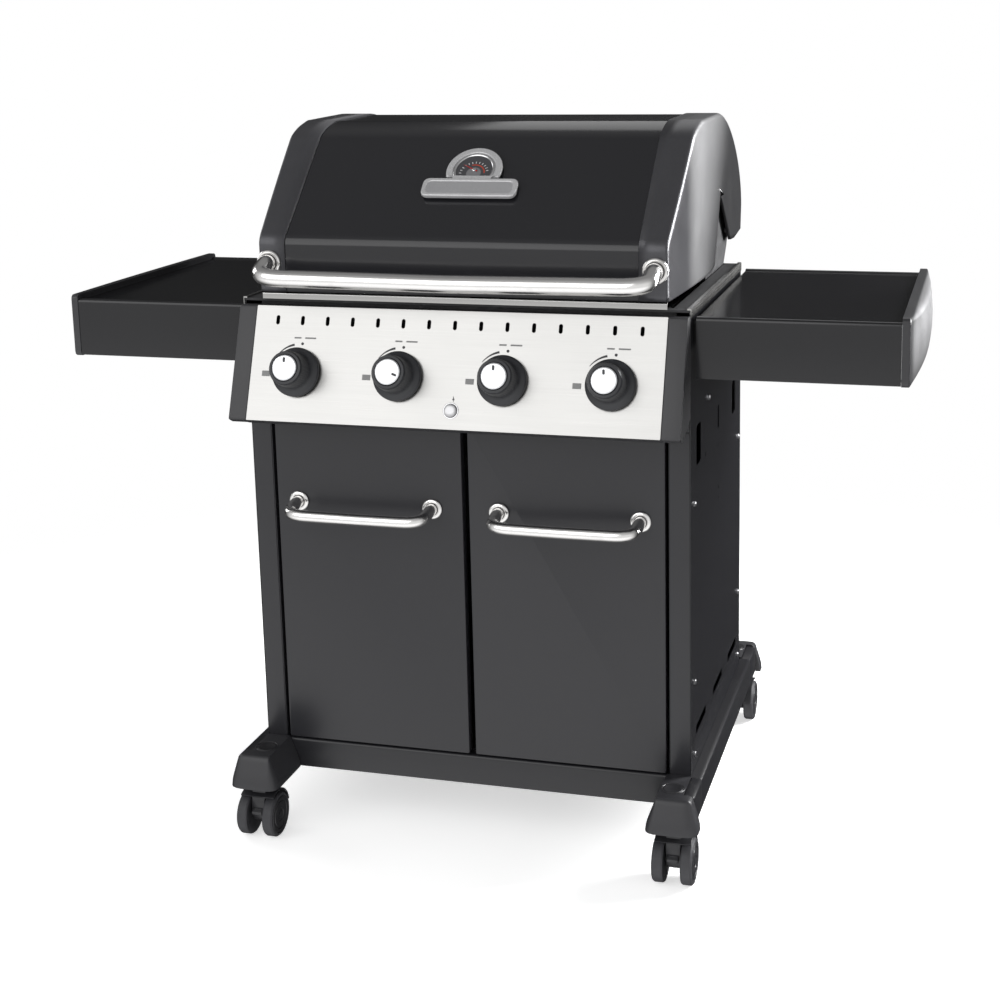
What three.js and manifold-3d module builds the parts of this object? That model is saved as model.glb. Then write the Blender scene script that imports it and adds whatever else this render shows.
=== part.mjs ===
// Gas barbecue grill on a two-door cart, as an assembly of separate pieces.
// Millimetres. +X to the right as seen from the front, +Y to the back, +Z up, ground at Z = 0.
import * as THREE from 'three';
import { mergeVertices } from 'three/addons/utils/BufferGeometryUtils.js';
import Module from 'manifold-3d';

const wasm = await Module();
wasm.setup();

// ---------------------------------------------------------------- driving dimensions
const GAP = 0.3; // running gap between neighbours that touch
const SHEET = 2; // folded sheet steel

// cart
const CART_HALF_WIDTH = 372;
const CART_FRONT = -262;
const CART_BACK = 238;
const STILE_WIDTH = 34;
const CABINET_TOP = 724;
const PANEL_TOP = 913.7;
const BACK_PANEL_TOP = 720;

// base frame
const RAIL_BOTTOM = 97;
const RAIL_TOP = 148;
const RAIL_OUTER = CART_HALF_WIDTH + 18;
const RAIL_INNER = CART_HALF_WIDTH - 32;
const RAIL_WALL = 3;
const BASE_BACK = CART_BACK + 24; // the rails end this far back; in front they end with the cart
const TIP_OVERHANG = 68;
const RAIL_TIP_DEPTH = 18;
const FRONT_RAIL_DEPTH = 30;

// moulded foot shoes
const SHOE_OVERHANG = 106;
const SHOE_TOP_OVERHANG = 90;
const SHOE_TOP = 151;
const SHOE_INNER = [CART_HALF_WIDTH - 58, CART_HALF_WIDTH - 40];
const SHOE_OUTER = [RAIL_OUTER + 10, RAIL_OUTER - 3];
const PLUG_RADIUS = 19;

// casters
const STEM_X = CART_HALF_WIDTH - 14;
const STEM_OVERHANG = 50;
const CASTER_TRAIL = 16;
const WHEEL_RADIUS = 37.5;
const WHEEL_WIDTH = 19;
const WHEEL_GAP = 28;
const AXLE_RADIUS = 4;
const STEM_RADIUS = 5.5;
const STEM_TOP = 136;
const FORK_TOP = 93;
const BEARING_GAP = 0.3;

// doors
const DOOR_GAP = 11;
const DOOR_EDGE = CART_HALF_WIDTH - STILE_WIDTH - 7;
const DOOR_BOTTOM = 151;
const DOOR_TOP = 722;
const DOOR_DEPTH = 18;
const PIVOT_RADIUS = 3;
const PIVOT_X = DOOR_EDGE - 9;
const PIVOT_LENGTH = 9;
const HANDLE_Z = 576;
const HANDLE_SPAN = 235;
const HANDLE_CENTRE_X = DOOR_EDGE - 156.5;
const HANDLE_STANDOFF = 60;
const HANDLE_DROP = 8;
const HANDLE_RADIUS = 10;
const HANDLE_BOSS_RADIUS = 17;

// control box: a plane that leans back from its lower front edge
const FASCIA_FOOT = [-345, 732];
const FASCIA_HEAD = [-278, 909];
const FASCIA_HALF_WIDTH = CART_HALF_WIDTH - 31;
const FASCIA_SHEET = 1.5;
const VENT_COUNT = 15;
const VENT_PITCH = 43.2;
const VENT_Z = 887;
const VENT_SIZE = [6, 15];
const KNOB_Z = 807;
const KNOB_X = [-259.6, -86.4, 86.4, 259.6];
const KNOB_HOLE = 12;
const KNOB_BASE = 6;
const SKIRT_RADIUS = 40;
const GRIP_RADIUS = 27;
const CAP_RADIUS = 20.5;
const KNOB_HEIGHT = 52;
const VALVE_TRAVEL = 4;
const VALVE_STEM_RADIUS = 4;
const BUTTON_X = 5;
const BUTTON_Z = 760;
const BUTTON_RADIUS = 10.5;

// firebox
const FIREBOX_HALF_WIDTH = CART_HALF_WIDTH - 24;
const FIREBOX_FRONT = -250;
const FIREBOX_BACK = CART_BACK;
const FIREBOX_BOTTOM = 765;
const FIREBOX_RIM = 918;
const FIREBOX_WALL = 5;
const LEDGE_Z = 868;
const LEDGE_WIDTH = 14;
const RIM_FRONT = CART_FRONT;
const RIM_THICKNESS = 4;
const EAR_X = FIREBOX_HALF_WIDTH - 13;
const EAR_THICKNESS = 5;
const BURNER_Z = 815;
const BURNER_RADIUS = 16;
const BURNER_BACK = FIREBOX_BACK - 58;
const GRID_THICKNESS = 11;
const GRID_SLOTS = 13;
const GRID_BORDER = 14;
const GRID_BAR = 8;
const TAMER_Z = 842;
const RACK_SIZE = [FIREBOX_HALF_WIDTH - 63, 40, 190];
const RACK_Z = 990;
const RACK_WIRE = 6;
const RACK_SLOTS = 9;
const RACK_LEG_X = FIREBOX_HALF_WIDTH - 26;

// lid
const LID_FRONT = -272;
const LID_RIM = 931.5;
const CREASE_Z = 1018;
const BROW = [-92, 1184];
const LID_TOP = 1196;
const PIVOT_LID = [FIREBOX_BACK + 10, 978];
const LID_BACK = PIVOT_LID[0] + 128.6;
const LID_BACK_RIM = 965;
const LID_HALF_WIDTH = CART_HALF_WIDTH - 20;
const LID_SKIN_HALF = LID_HALF_WIDTH - 59.5;
const LID_SHEET = 3;
const CASTING_WALL = 6;
const NOTCH_FRONT = PIVOT_LID[0] - 176;
const NOTCH_TIP = [PIVOT_LID[0] - 112, 1058];
const LID_PIN_RADIUS = 5;
const LUG_RADIUS = 17;
const LID_HANDLE_X = LID_HALF_WIDTH - 32;
const LID_HANDLE_Z = 979;
const LID_HANDLE_BAR = [-331, 960];
const LID_HANDLE_RADIUS = 14;
const LID_BOSS_RADIUS = 21;
const GAUGE_S = 150;
const GAUGE_RADIUS = 36;
const PLATE_S = 97;
const PLATE_SIZE = [160, 40];

// side shelves
const SHELF_INNER = CART_HALF_WIDTH + 6;
const SHELF_OUTER = SHELF_INNER + 312;
const SHELF_FRONT = -248;
const SHELF_BACK = CART_BACK + 31;
const SHELF_TOP = 905;
const SHELF_BOTTOM = 808;
const CAP_TOP = 912;
const CAP_BOTTOM = 806;
const CAP_CORNER_X = SHELF_OUTER + 16;
const CAP_CROWN_X = SHELF_OUTER + 32;
const CAP_WALL = 4;

// grease tray under the firebox
const TRAY_HALF = 146;
const TRAY_FLANGE_Z = 744.5;
const TRAY_BOTTOM = 727;
const TRAY_FRONT = -150;
const TRAY_BACK = CART_BACK - 2;

// ---------------------------------------------------------------- finishes
const finish = (color, roughness, metalness) => ({ color, roughness, metalness });
const ENAMEL = finish(0x1c1c20, 0.25, 0.0);
const CHARCOAL = finish(0x4a4b50, 0.45, 0.3);
const STAINLESS = finish(0xd8d6d2, 0.3, 1.0);
const CHROME = finish(0xe8e8ea, 0.12, 1.0);
const PLASTIC = finish(0x26262a, 0.5, 0.0);
const KNOB_PLASTIC = finish(0x202226, 0.4, 0.0);
const SATIN = finish(0xc9cacc, 0.35, 0.8);
const IRON = finish(0x242322, 0.7, 0.2);
const ALUMINIUM = finish(0x8a8a8c, 0.5, 0.8);
const BRASS = finish(0xb08d4a, 0.4, 1.0);

// ---------------------------------------------------------------- geometry helpers
const TO_X = new THREE.Matrix4().makeBasis(
  new THREE.Vector3(0, 1, 0), new THREE.Vector3(0, 0, 1), new THREE.Vector3(1, 0, 0));
const TO_Y = new THREE.Matrix4().makeBasis(
  new THREE.Vector3(1, 0, 0), new THREE.Vector3(0, 0, 1), new THREE.Vector3(0, -1, 0));

const points2 = (list) => list.map(([a, b]) => new THREE.Vector2(a, b));

function box(x0, x1, y0, y1, z0, z1) {
  const geometry = new THREE.BoxGeometry(x1 - x0, y1 - y0, z1 - z0);
  return geometry.translate((x0 + x1) / 2, (y0 + y1) / 2, (z0 + z1) / 2);
}

function extrude(shape, depth, curveSegments = 6) {
  return new THREE.ExtrudeGeometry(shape, { depth, bevelEnabled: false, curveSegments });
}

// A (Y, Z) outline carried along X.
function prismX(outline, x0, x1) {
  const shape = outline instanceof THREE.Shape ? outline : new THREE.Shape(points2(outline));
  return extrude(shape, x1 - x0).applyMatrix4(TO_X).translate(x0, 0, 0);
}

// An (X, Z) outline carried along Y.
function prismY(outline, y0, y1) {
  const shape = outline instanceof THREE.Shape ? outline : new THREE.Shape(points2(outline));
  return extrude(shape, y1 - y0).applyMatrix4(TO_Y).translate(0, y1, 0);
}

// An (X, Y) outline carried along Z.
function prismZ(outline, z0, z1) {
  const shape = outline instanceof THREE.Shape ? outline : new THREE.Shape(points2(outline));
  return extrude(shape, z1 - z0).translate(0, 0, z0);
}

function rod(axis, radius, from, to, centre, sides = 16) {
  const geometry = new THREE.CylinderGeometry(radius, radius, to - from, sides);
  const middle = (from + to) / 2;
  const [a, b] = centre;
  if (axis === 'x') return geometry.rotateZ(-Math.PI / 2).translate(middle, a, b);
  if (axis === 'y') return geometry.translate(a, middle, b);
  return geometry.rotateX(Math.PI / 2).translate(a, b, middle);
}

function roundedRect(width, height, radius) {
  const shape = new THREE.Shape();
  const x = width / 2;
  const y = height / 2;
  shape.moveTo(-x + radius, -y);
  shape.lineTo(x - radius, -y);
  shape.absarc(x - radius, -y + radius, radius, -Math.PI / 2, 0);
  shape.lineTo(x, y - radius);
  shape.absarc(x - radius, y - radius, radius, 0, Math.PI / 2);
  shape.lineTo(-x + radius, y);
  shape.absarc(-x + radius, y - radius, radius, Math.PI / 2, Math.PI);
  shape.lineTo(-x, -y + radius);
  shape.absarc(-x + radius, -y + radius, radius, Math.PI, Math.PI * 1.5);
  return shape;
}

function circlePath(x, y, radius, sides = 18) {
  const corners = Array.from({ length: sides }, (_, i) => (i / sides) * Math.PI * 2);
  return new THREE.Path(points2(corners.map((a) => [x + Math.cos(a) * radius, y + Math.sin(a) * radius])));
}

// A round bar along a smooth curve through the given points.
function barThrough(points, radius, steps, sides = 10) {
  const curve = new THREE.CatmullRomCurve3(points.map((p) => new THREE.Vector3(...p)), false, 'centripetal');
  const section = new THREE.Shape();
  section.absarc(0, 0, radius, 0, Math.PI * 2);
  const settings = { steps, curveSegments: sides / 2, bevelEnabled: false, extrudePath: curve };
  return new THREE.ExtrudeGeometry(section, settings);
}

// An open (Y, Z) line moved sideways by a distance, to its left.
function offsetLine(line, distance) {
  return line.map((point, i) => {
    const before = line[Math.max(i - 1, 0)];
    const after = line[Math.min(i + 1, line.length - 1)];
    const along = new THREE.Vector2().subVectors(after, before).normalize();
    return new THREE.Vector2(point.x - along.y * distance, point.y + along.x * distance);
  });
}

function band(line, thickness) {
  return new THREE.Shape([...line, ...offsetLine(line, -thickness).reverse()]);
}

// ---------------------------------------------------------------- solids
// A shape is a three.js geometry or a manifold that was already cut or joined.
function solid(shape) {
  if (shape instanceof wasm.Manifold) return shape;
  const bare = shape.clone();
  bare.deleteAttribute('normal');
  bare.deleteAttribute('uv');
  const merged = mergeVertices(bare, 1e-4);
  const source = merged.getAttribute('position').array;
  return new wasm.Manifold(new wasm.Mesh({
    numProp: 3,
    vertProperties: Float32Array.from(source),
    triVerts: Uint32Array.from(merged.index.array),
  }));
}

function toGeometry(shape) {
  if (shape instanceof THREE.BufferGeometry) return shape;
  const mesh = shape.getMesh();
  const geometry = new THREE.BufferGeometry();
  geometry.setAttribute('position', new THREE.BufferAttribute(Float32Array.from(mesh.vertProperties), 3));
  geometry.setIndex(new THREE.BufferAttribute(Uint32Array.from(mesh.triVerts), 1));
  return geometry;
}

function join(...shapes) {
  return shapes.map(solid).reduce((sum, next) => sum.add(next));
}

function cut(shape, ...tools) {
  return tools.map(solid).reduce((rest, tool) => rest.subtract(tool), solid(shape));
}

function common(a, b) {
  return solid(a).intersect(solid(b));
}

const grill = new THREE.Group();

function add(name, shape, look, parent = grill) {
  const mesh = new THREE.Mesh(toGeometry(shape), new THREE.MeshStandardMaterial(look));
  mesh.name = name;
  parent.add(mesh);
  return mesh;
}

const SIDES = [['left', -1], ['right', 1]];
const span = (side, inner, outer) => (side > 0 ? [inner, outer] : [-outer, -inner]);

// ---------------------------------------------------------------- base frame
// A place that stands out past the base's front (end -1) or back (end 1), and a range between two of them.
const baseY = (end, overhang) => (end < 0 ? CART_FRONT - overhang : BASE_BACK + overhang);
const baseSpan = (end, near, far) => [baseY(end, near), baseY(end, far)].sort((a, b) => a - b);
const INBOARD = -62; // well inside the base's end, where a cutting box may start

function sideRail(side) {
  const body = box(...span(side, RAIL_INNER, RAIL_OUTER), CART_FRONT, BASE_BACK, RAIL_BOTTOM, RAIL_TOP);
  const tips = box(...span(side, RAIL_OUTER - RAIL_TIP_DEPTH, RAIL_OUTER), baseY(-1, TIP_OVERHANG),
    baseY(1, TIP_OVERHANG), RAIL_BOTTOM, RAIL_TOP);
  const hollow = box(...span(side, RAIL_INNER + RAIL_WALL, RAIL_OUTER - RAIL_WALL),
    CART_FRONT + RAIL_WALL, BASE_BACK - RAIL_WALL, RAIL_BOTTOM - 1, RAIL_TOP - RAIL_WALL);
  return cut(join(body, tips), hollow);
}

function crossRail(front, back, pivots) {
  const inner = RAIL_INNER - GAP;
  const body = box(-inner, inner, front, back, RAIL_BOTTOM, RAIL_TOP);
  const hollow = box(-inner + RAIL_WALL, inner - RAIL_WALL, front + RAIL_WALL, back - RAIL_WALL,
    RAIL_BOTTOM - 1, RAIL_TOP - RAIL_WALL);
  const bore = PIVOT_RADIUS + BEARING_GAP;
  const holes = pivots.map((centre) => rod('z', bore, RAIL_BOTTOM, RAIL_TOP + 1, centre, 12));
  return cut(body, hollow, ...holes);
}

function shoe(side, end) {
  const along = [[GAP, RAIL_BOTTOM], [GAP, SHOE_TOP], [SHOE_TOP_OVERHANG, SHOE_TOP],
    [SHOE_OVERHANG - 2, RAIL_BOTTOM + 12], [SHOE_OVERHANG, RAIL_BOTTOM]]
    .map(([out, z]) => [baseY(end, out), z]);
  const [innerFoot, innerTop] = SHOE_INNER;
  const [outerFoot, outerTop] = SHOE_OUTER;
  const across = [[innerFoot, RAIL_BOTTOM], [outerFoot, RAIL_BOTTOM], [outerFoot - 1, RAIL_BOTTOM + 12],
    [outerTop, SHOE_TOP], [innerTop, SHOE_TOP], [innerFoot + 1, RAIL_BOTTOM + 12]];
  const form = common(
    prismX(end < 0 ? along : along.reverse(), ...span(side, innerFoot - 1, outerFoot + 1)),
    prismY(side > 0 ? across : across.map(([x, z]) => [-x, z]).reverse(),
      ...baseSpan(end, INBOARD, SHOE_OVERHANG + 1)));
  const tip = box(...span(side, RAIL_OUTER - RAIL_TIP_DEPTH - GAP, outerFoot + 1),
    ...baseSpan(end, INBOARD, TIP_OVERHANG + GAP), RAIL_BOTTOM - 1, SHOE_TOP + 1);
  const stemAt = [side * STEM_X, baseY(end, STEM_OVERHANG)];
  const stem = rod('z', STEM_RADIUS + BEARING_GAP, RAIL_BOTTOM - 1, STEM_TOP + 1, stemAt, 14);
  const plug = rod('z', PLUG_RADIUS, SHOE_TOP - 2, SHOE_TOP + 1.5, [side * (STEM_X - 6), stemAt[1]], 20);
  const seat = box(...span(side, innerTop, RAIL_OUTER - RAIL_TIP_DEPTH - GAP),
    ...baseSpan(end, INBOARD, SHOE_OVERHANG), SHOE_TOP - 2, SHOE_TOP + 2);
  return join(cut(form, tip, stem), common(plug, seat));
}

// A twin-wheel caster: the fork block sits between two wheels on one axle.
function casterFork(end) {
  const axleY = baseY(end, STEM_OVERHANG + CASTER_TRAIL);
  const outline = [[-20, FORK_TOP], [-20, 70], [-6, 26], [26, 26], [33, 44], [33, 62], [24, FORK_TOP]];
  const shape = new THREE.Shape(points2(outline.map(([y, z]) => [baseY(end, STEM_OVERHANG + y), z])));
  const half = WHEEL_GAP / 2 - 1.5;
  const body = cut(prismX(shape, -half, half),
    rod('x', AXLE_RADIUS + BEARING_GAP, -half - 1, half + 1, [axleY, WHEEL_RADIUS], 14),
    box(-half - 1, half + 1, ...baseSpan(end, STEM_OVERHANG + 21, STEM_OVERHANG + 34), 42, 64));
  const stem = rod('z', STEM_RADIUS, FORK_TOP - 5, STEM_TOP, [0, baseY(end, STEM_OVERHANG)], 14);
  return join(body, stem);
}

function casterWheels(end) {
  const inner = WHEEL_GAP / 2;
  const outer = inner + WHEEL_WIDTH;
  const half = [[AXLE_RADIUS, inner], [WHEEL_RADIUS - 2, inner], [WHEEL_RADIUS, inner + 3],
    [WHEEL_RADIUS, outer - 7], [WHEEL_RADIUS - 5, outer - 2], [20, outer], [0, outer - 2]];
  const profile = [...half.map(([r, x]) => [r, -x]).reverse(), ...half];
  const wheel = new THREE.LatheGeometry(points2(profile), 20);
  return wheel.rotateZ(-Math.PI / 2).translate(0, baseY(end, STEM_OVERHANG + CASTER_TRAIL), WHEEL_RADIUS);
}

function brakeLever(end) {
  const reach = STEM_OVERHANG + 22;
  const outline = [[reach, 46], [reach + 20, 43], [reach + 20, 48], [reach, 60]];
  return prismX(outline.map(([out, z]) => [baseY(end, out), z]), -WHEEL_GAP / 2 + 4, WHEEL_GAP / 2 - 4);
}

function addBase() {
  const pivotY = CART_FRONT + DOOR_DEPTH / 2;
  for (const [name, side] of SIDES) {
    add(`base_side_rail_${name}`, sideRail(side), ENAMEL);
    for (const [place, end] of [['front', -1], ['rear', 1]]) {
      add(`foot_shoe_${place}_${name}`, shoe(side, end), PLASTIC);
      const station = new THREE.Group();
      station.position.set(side * STEM_X, 0, 0);
      grill.add(station);
      add(`caster_fork_${place}_${name}`, casterFork(end), PLASTIC, station);
      add(`caster_wheels_${place}_${name}`, casterWheels(end), PLASTIC, station);
      if (end < 0) add(`caster_brake_lever_${name}`, brakeLever(end), PLASTIC, station);
    }
  }
  add('base_front_rail', crossRail(CART_FRONT, CART_FRONT + FRONT_RAIL_DEPTH,
    [[-PIVOT_X, pivotY], [PIVOT_X, pivotY]]), ENAMEL);
  add('base_rear_rail', crossRail(BASE_BACK - FRONT_RAIL_DEPTH, BASE_BACK, []), ENAMEL);
}

// ---------------------------------------------------------------- cart
// Cut-outs of a side panel as [y, z, width, height, corner radius].
const SIDE_CUTS = [[-190, 690, 44, 66, 8], [-2, 690, 16, 40, 5], [160, 688, 40, 60, 12],
  [-170, 210, 95, 16, 5], [-5, 210, 95, 16, 5], [150, 210, 95, 16, 5]];
const SIDE_HOLES = [[-125, 655], [-4, 640], [0, 565], [0, 545]];
const SIDE_HOLE_RADIUS = 4.5;

function sidePanel(side) {
  const bottom = RAIL_TOP + GAP;
  const outer = CART_HALF_WIDTH;
  const plate = box(...span(side, outer - SHEET, outer), CART_FRONT, CART_BACK, bottom, PANEL_TOP);
  const flange = span(side, outer - STILE_WIDTH, outer);
  const stile = box(...flange, CART_FRONT, CART_FRONT + SHEET, bottom, CABINET_TOP);
  const rear = box(...flange, CART_BACK - SHEET, CART_BACK, bottom, CABINET_TOP);
  const openings = SIDE_CUTS.map(([y, z, width, height, radius]) => {
    const hole = extrude(roundedRect(width, height, radius), 10, 1).applyMatrix4(TO_X);
    return hole.translate(side * outer - 5, y, z);
  });
  const through = span(side, outer - 5, outer + 5);
  const holes = SIDE_HOLES.map((centre) => rod('x', SIDE_HOLE_RADIUS, ...through, centre, 10));
  return join(cut(plate, ...openings, ...holes), stile, rear);
}

function addCart() {
  const inside = CART_HALF_WIDTH - SHEET - GAP;
  for (const [name, side] of SIDES) add(`side_panel_${name}`, sidePanel(side), ENAMEL);
  add('bottom_shelf', box(-inside, inside, CART_FRONT + DOOR_DEPTH + 4, CART_BACK - SHEET - GAP,
    RAIL_TOP + GAP, RAIL_TOP + GAP + SHEET * 1.5), ENAMEL);
  const backHalf = CART_HALF_WIDTH - STILE_WIDTH - GAP;
  const panelBottom = RAIL_TOP + GAP;
  add('back_panel', box(-backHalf, backHalf, CART_BACK - SHEET, CART_BACK, panelBottom, BACK_PANEL_TOP),
    ENAMEL);
}

function door(side) {
  const inner = DOOR_GAP / 2;
  const back = CART_FRONT + DOOR_DEPTH;
  const slab = box(...span(side, inner, DOOR_EDGE), CART_FRONT, back, DOOR_BOTTOM, DOOR_TOP);
  const pocket = box(...span(side, inner + SHEET, DOOR_EDGE - SHEET), CART_FRONT + SHEET, back + 1,
    DOOR_BOTTOM + SHEET, DOOR_TOP - SHEET);
  const centre = [side * PIVOT_X, CART_FRONT + DOOR_DEPTH / 2];
  const lower = rod('z', PIVOT_RADIUS, DOOR_BOTTOM - PIVOT_LENGTH, DOOR_BOTTOM + SHEET, centre, 12);
  const upper = rod('z', PIVOT_RADIUS, DOOR_TOP - SHEET, DOOR_TOP + PIVOT_LENGTH, centre, 12);
  return join(cut(slab, pocket), lower, upper);
}

function doorHandle(side) {
  const half = HANDLE_SPAN / 2;
  const face = CART_FRONT - GAP;
  const bar = CART_FRONT - HANDLE_STANDOFF;
  const low = HANDLE_Z - HANDLE_DROP;
  const centre = side * HANDLE_CENTRE_X;
  const root = face - 2;
  const route = [[-half, root, HANDLE_Z], [-half - 1, bar + 24, HANDLE_Z - 3], [-half + 5, bar + 8, low + 2],
    [-half + 24, bar, low], [0, bar, low], [half - 24, bar, low], [half - 5, bar + 8, low + 2],
    [half + 1, bar + 24, HANDLE_Z - 3], [half, root, HANDLE_Z]];
  const tube = barThrough(route, HANDLE_RADIUS, 26);
  const bosses = [-half, half].map((x) => rod('y', HANDLE_BOSS_RADIUS, face - 5, face, [x, HANDLE_Z], 16));
  return toGeometry(join(tube, ...bosses)).translate(centre, 0, 0);
}

function addDoors() {
  for (const [name, side] of SIDES) {
    add(`door_${name}`, door(side), ENAMEL);
    add(`door_handle_${name}`, doorHandle(side), CHROME);
  }
}

// ---------------------------------------------------------------- control box
const lean = new THREE.Vector2(FASCIA_HEAD[0] - FASCIA_FOOT[0], FASCIA_HEAD[1] - FASCIA_FOOT[1]);
const FASCIA_LENGTH = lean.length();
const FASCIA_ANGLE = Math.atan2(lean.y, lean.x);
const up = lean.clone().normalize();
const out = new THREE.Vector2(-up.y, up.x);
const panelV = (z) => (z - FASCIA_FOOT[1]) / up.y;

// A (Y, Z) point on the leaning plane, v up from its foot and w out of it.
function onPanel(v, w) {
  return [FASCIA_FOOT[0] + up.x * v + out.x * w, FASCIA_FOOT[1] + up.y * v + out.y * w];
}

// Local x runs right, y up the leaning plane from its foot, z out of it.
const panel = new THREE.Group();
panel.position.set(0, FASCIA_FOOT[0], FASCIA_FOOT[1]);
panel.rotation.x = FASCIA_ANGLE;
grill.add(panel);

function fascia() {
  const shape = new THREE.Shape(points2([[-FASCIA_HALF_WIDTH, 0], [FASCIA_HALF_WIDTH, 0],
    [FASCIA_HALF_WIDTH, FASCIA_LENGTH], [-FASCIA_HALF_WIDTH, FASCIA_LENGTH]]));
  const [width, height] = VENT_SIZE;
  for (let i = 0; i < VENT_COUNT; i += 1) {
    const x = (i - (VENT_COUNT - 1) / 2) * VENT_PITCH;
    const y = panelV(VENT_Z);
    const reach = (height - width) / 2;
    const vent = new THREE.Path();
    vent.absarc(x, y + reach, width / 2, 0, Math.PI);
    vent.absarc(x, y - reach, width / 2, Math.PI, Math.PI * 2);
    shape.holes.push(vent);
  }
  for (const x of KNOB_X) shape.holes.push(circlePath(x, panelV(KNOB_Z), KNOB_HOLE));
  shape.holes.push(circlePath(BUTTON_X, panelV(BUTTON_Z), BUTTON_RADIUS + GAP));
  return extrude(shape, FASCIA_SHEET, 2).translate(0, 0, GAP);
}

function housing() {
  const proud = FASCIA_SHEET + GAP;
  const rear = CART_FRONT - GAP;
  const cheek = [onPanel(0, proud), [FASCIA_FOOT[0] + 12, FASCIA_FOOT[1] - 7], [rear, FASCIA_FOOT[1] + 14],
    [rear, FASCIA_HEAD[1]], onPanel(FASCIA_LENGTH, proud)];
  const cheekInner = FASCIA_HALF_WIDTH + GAP;
  const parts = SIDES.map(([, side]) => prismX(cheek, ...span(side, cheekInner, CART_HALF_WIDTH)));
  const inner = FASCIA_HALF_WIDTH + 2;
  const [footY, footZ] = onPanel(0, 0);
  const sole = [[footY, footZ], [footY + 12, footZ - 7], [rear, footZ - 6], [rear, footZ - 3.5]];
  const [headY, headZ] = FASCIA_HEAD;
  const crown = [[headY, headZ - 3], [rear, headZ - 3], [rear, headZ], [headY, headZ]];
  const header = [[rear - 4, CABINET_TOP + 2], [CART_FRONT + DOOR_DEPTH + 8, CABINET_TOP + 2],
    [CART_FRONT + DOOR_DEPTH + 8, CABINET_TOP + 6], [rear + 4, CABINET_TOP + 6], [rear + 4, CABINET_TOP + 24],
    [rear - 4, CABINET_TOP + 24]];
  const headerHalf = CART_HALF_WIDTH - SHEET - GAP;
  const body = join(...parts, prismX(sole, -inner, inner), prismX(crown, -inner, inner),
    prismX(header, -headerHalf, headerHalf));
  const holes = SIDES.map(([, side]) => rod('z', PIVOT_RADIUS + BEARING_GAP, CABINET_TOP, CABINET_TOP + 10,
    [side * PIVOT_X, CART_FRONT + DOOR_DEPTH / 2], 12));
  return cut(body, ...holes);
}

function knob() {
  const bore = VALVE_STEM_RADIUS + BEARING_GAP;
  const top = KNOB_BASE + KNOB_HEIGHT;
  const profile = [[bore, KNOB_BASE], [SKIRT_RADIUS, KNOB_BASE], [SKIRT_RADIUS, KNOB_BASE + 6],
    [SKIRT_RADIUS - 2, KNOB_BASE + 12], [GRIP_RADIUS + 2, KNOB_BASE + 16], [GRIP_RADIUS, KNOB_BASE + 20],
    [GRIP_RADIUS - 2, top - 8], [CAP_RADIUS, top - 2], [CAP_RADIUS - 4, top], [0, top], [0, top - 14],
    [bore, top - 14], [bore, KNOB_BASE]];
  return new THREE.LatheGeometry(points2(profile), 20).rotateX(Math.PI / 2);
}

function valveStem() {
  const inner = KNOB_BASE + KNOB_HEIGHT - 14 - GAP;
  return rod('z', VALVE_STEM_RADIUS, -24, inner, [0, 0], 12);
}

function manifold() {
  const depth = -46;
  const v = panelV(KNOB_Z);
  const pipe = rod('x', 9, -300, 300, [v, depth], 12);
  const valves = KNOB_X.map((x) => rod('z', 12, depth, -24 - VALVE_TRAVEL - 0.5, [x, v], 12));
  return join(pipe, ...valves);
}

function button() {
  const profile = [[0, -14], [4, -14], [4, -8], [BUTTON_RADIUS, -8], [BUTTON_RADIUS, 5],
    [BUTTON_RADIUS - 2, 7], [0, 7]];
  return new THREE.LatheGeometry(points2(profile), 14).rotateX(Math.PI / 2);
}

function addControls() {
  add('control_fascia', fascia(), STAINLESS, panel);
  add('control_housing', housing(), CHARCOAL);
  add('gas_manifold', manifold(), BRASS, panel);
  KNOB_X.forEach((x, i) => {
    const place = new THREE.Group();
    place.position.set(x, panelV(KNOB_Z), 0);
    panel.add(place);
    add(`valve_stem_${i + 1}`, valveStem(), BRASS, place);
    add(`control_knob_${i + 1}`, knob(), KNOB_PLASTIC, place);
  });
  const spot = new THREE.Group();
  spot.position.set(BUTTON_X, panelV(BUTTON_Z), 0);
  panel.add(spot);
  add('igniter_button', button(), SATIN, spot);
}

// ---------------------------------------------------------------- firebox
// The ear carries the lid's pivot and closes the notch in the lid's end casting from inside.
function earOutline() {
  const [y, z] = PIVOT_LID;
  const foot = FIREBOX_RIM - 2;
  const [tipY, tipZ] = NOTCH_TIP;
  const shape = new THREE.Shape(points2([[NOTCH_FRONT - 22, foot], [tipY - 26, tipZ + 8],
    [tipY + 20, tipZ + 12], [y + 32, z + 22], [y + 34, z - 10], [y + 24, z - 30], [y - 10, foot]]));
  shape.holes.push(circlePath(y, z, LID_PIN_RADIUS + BEARING_GAP));
  return shape;
}

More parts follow.
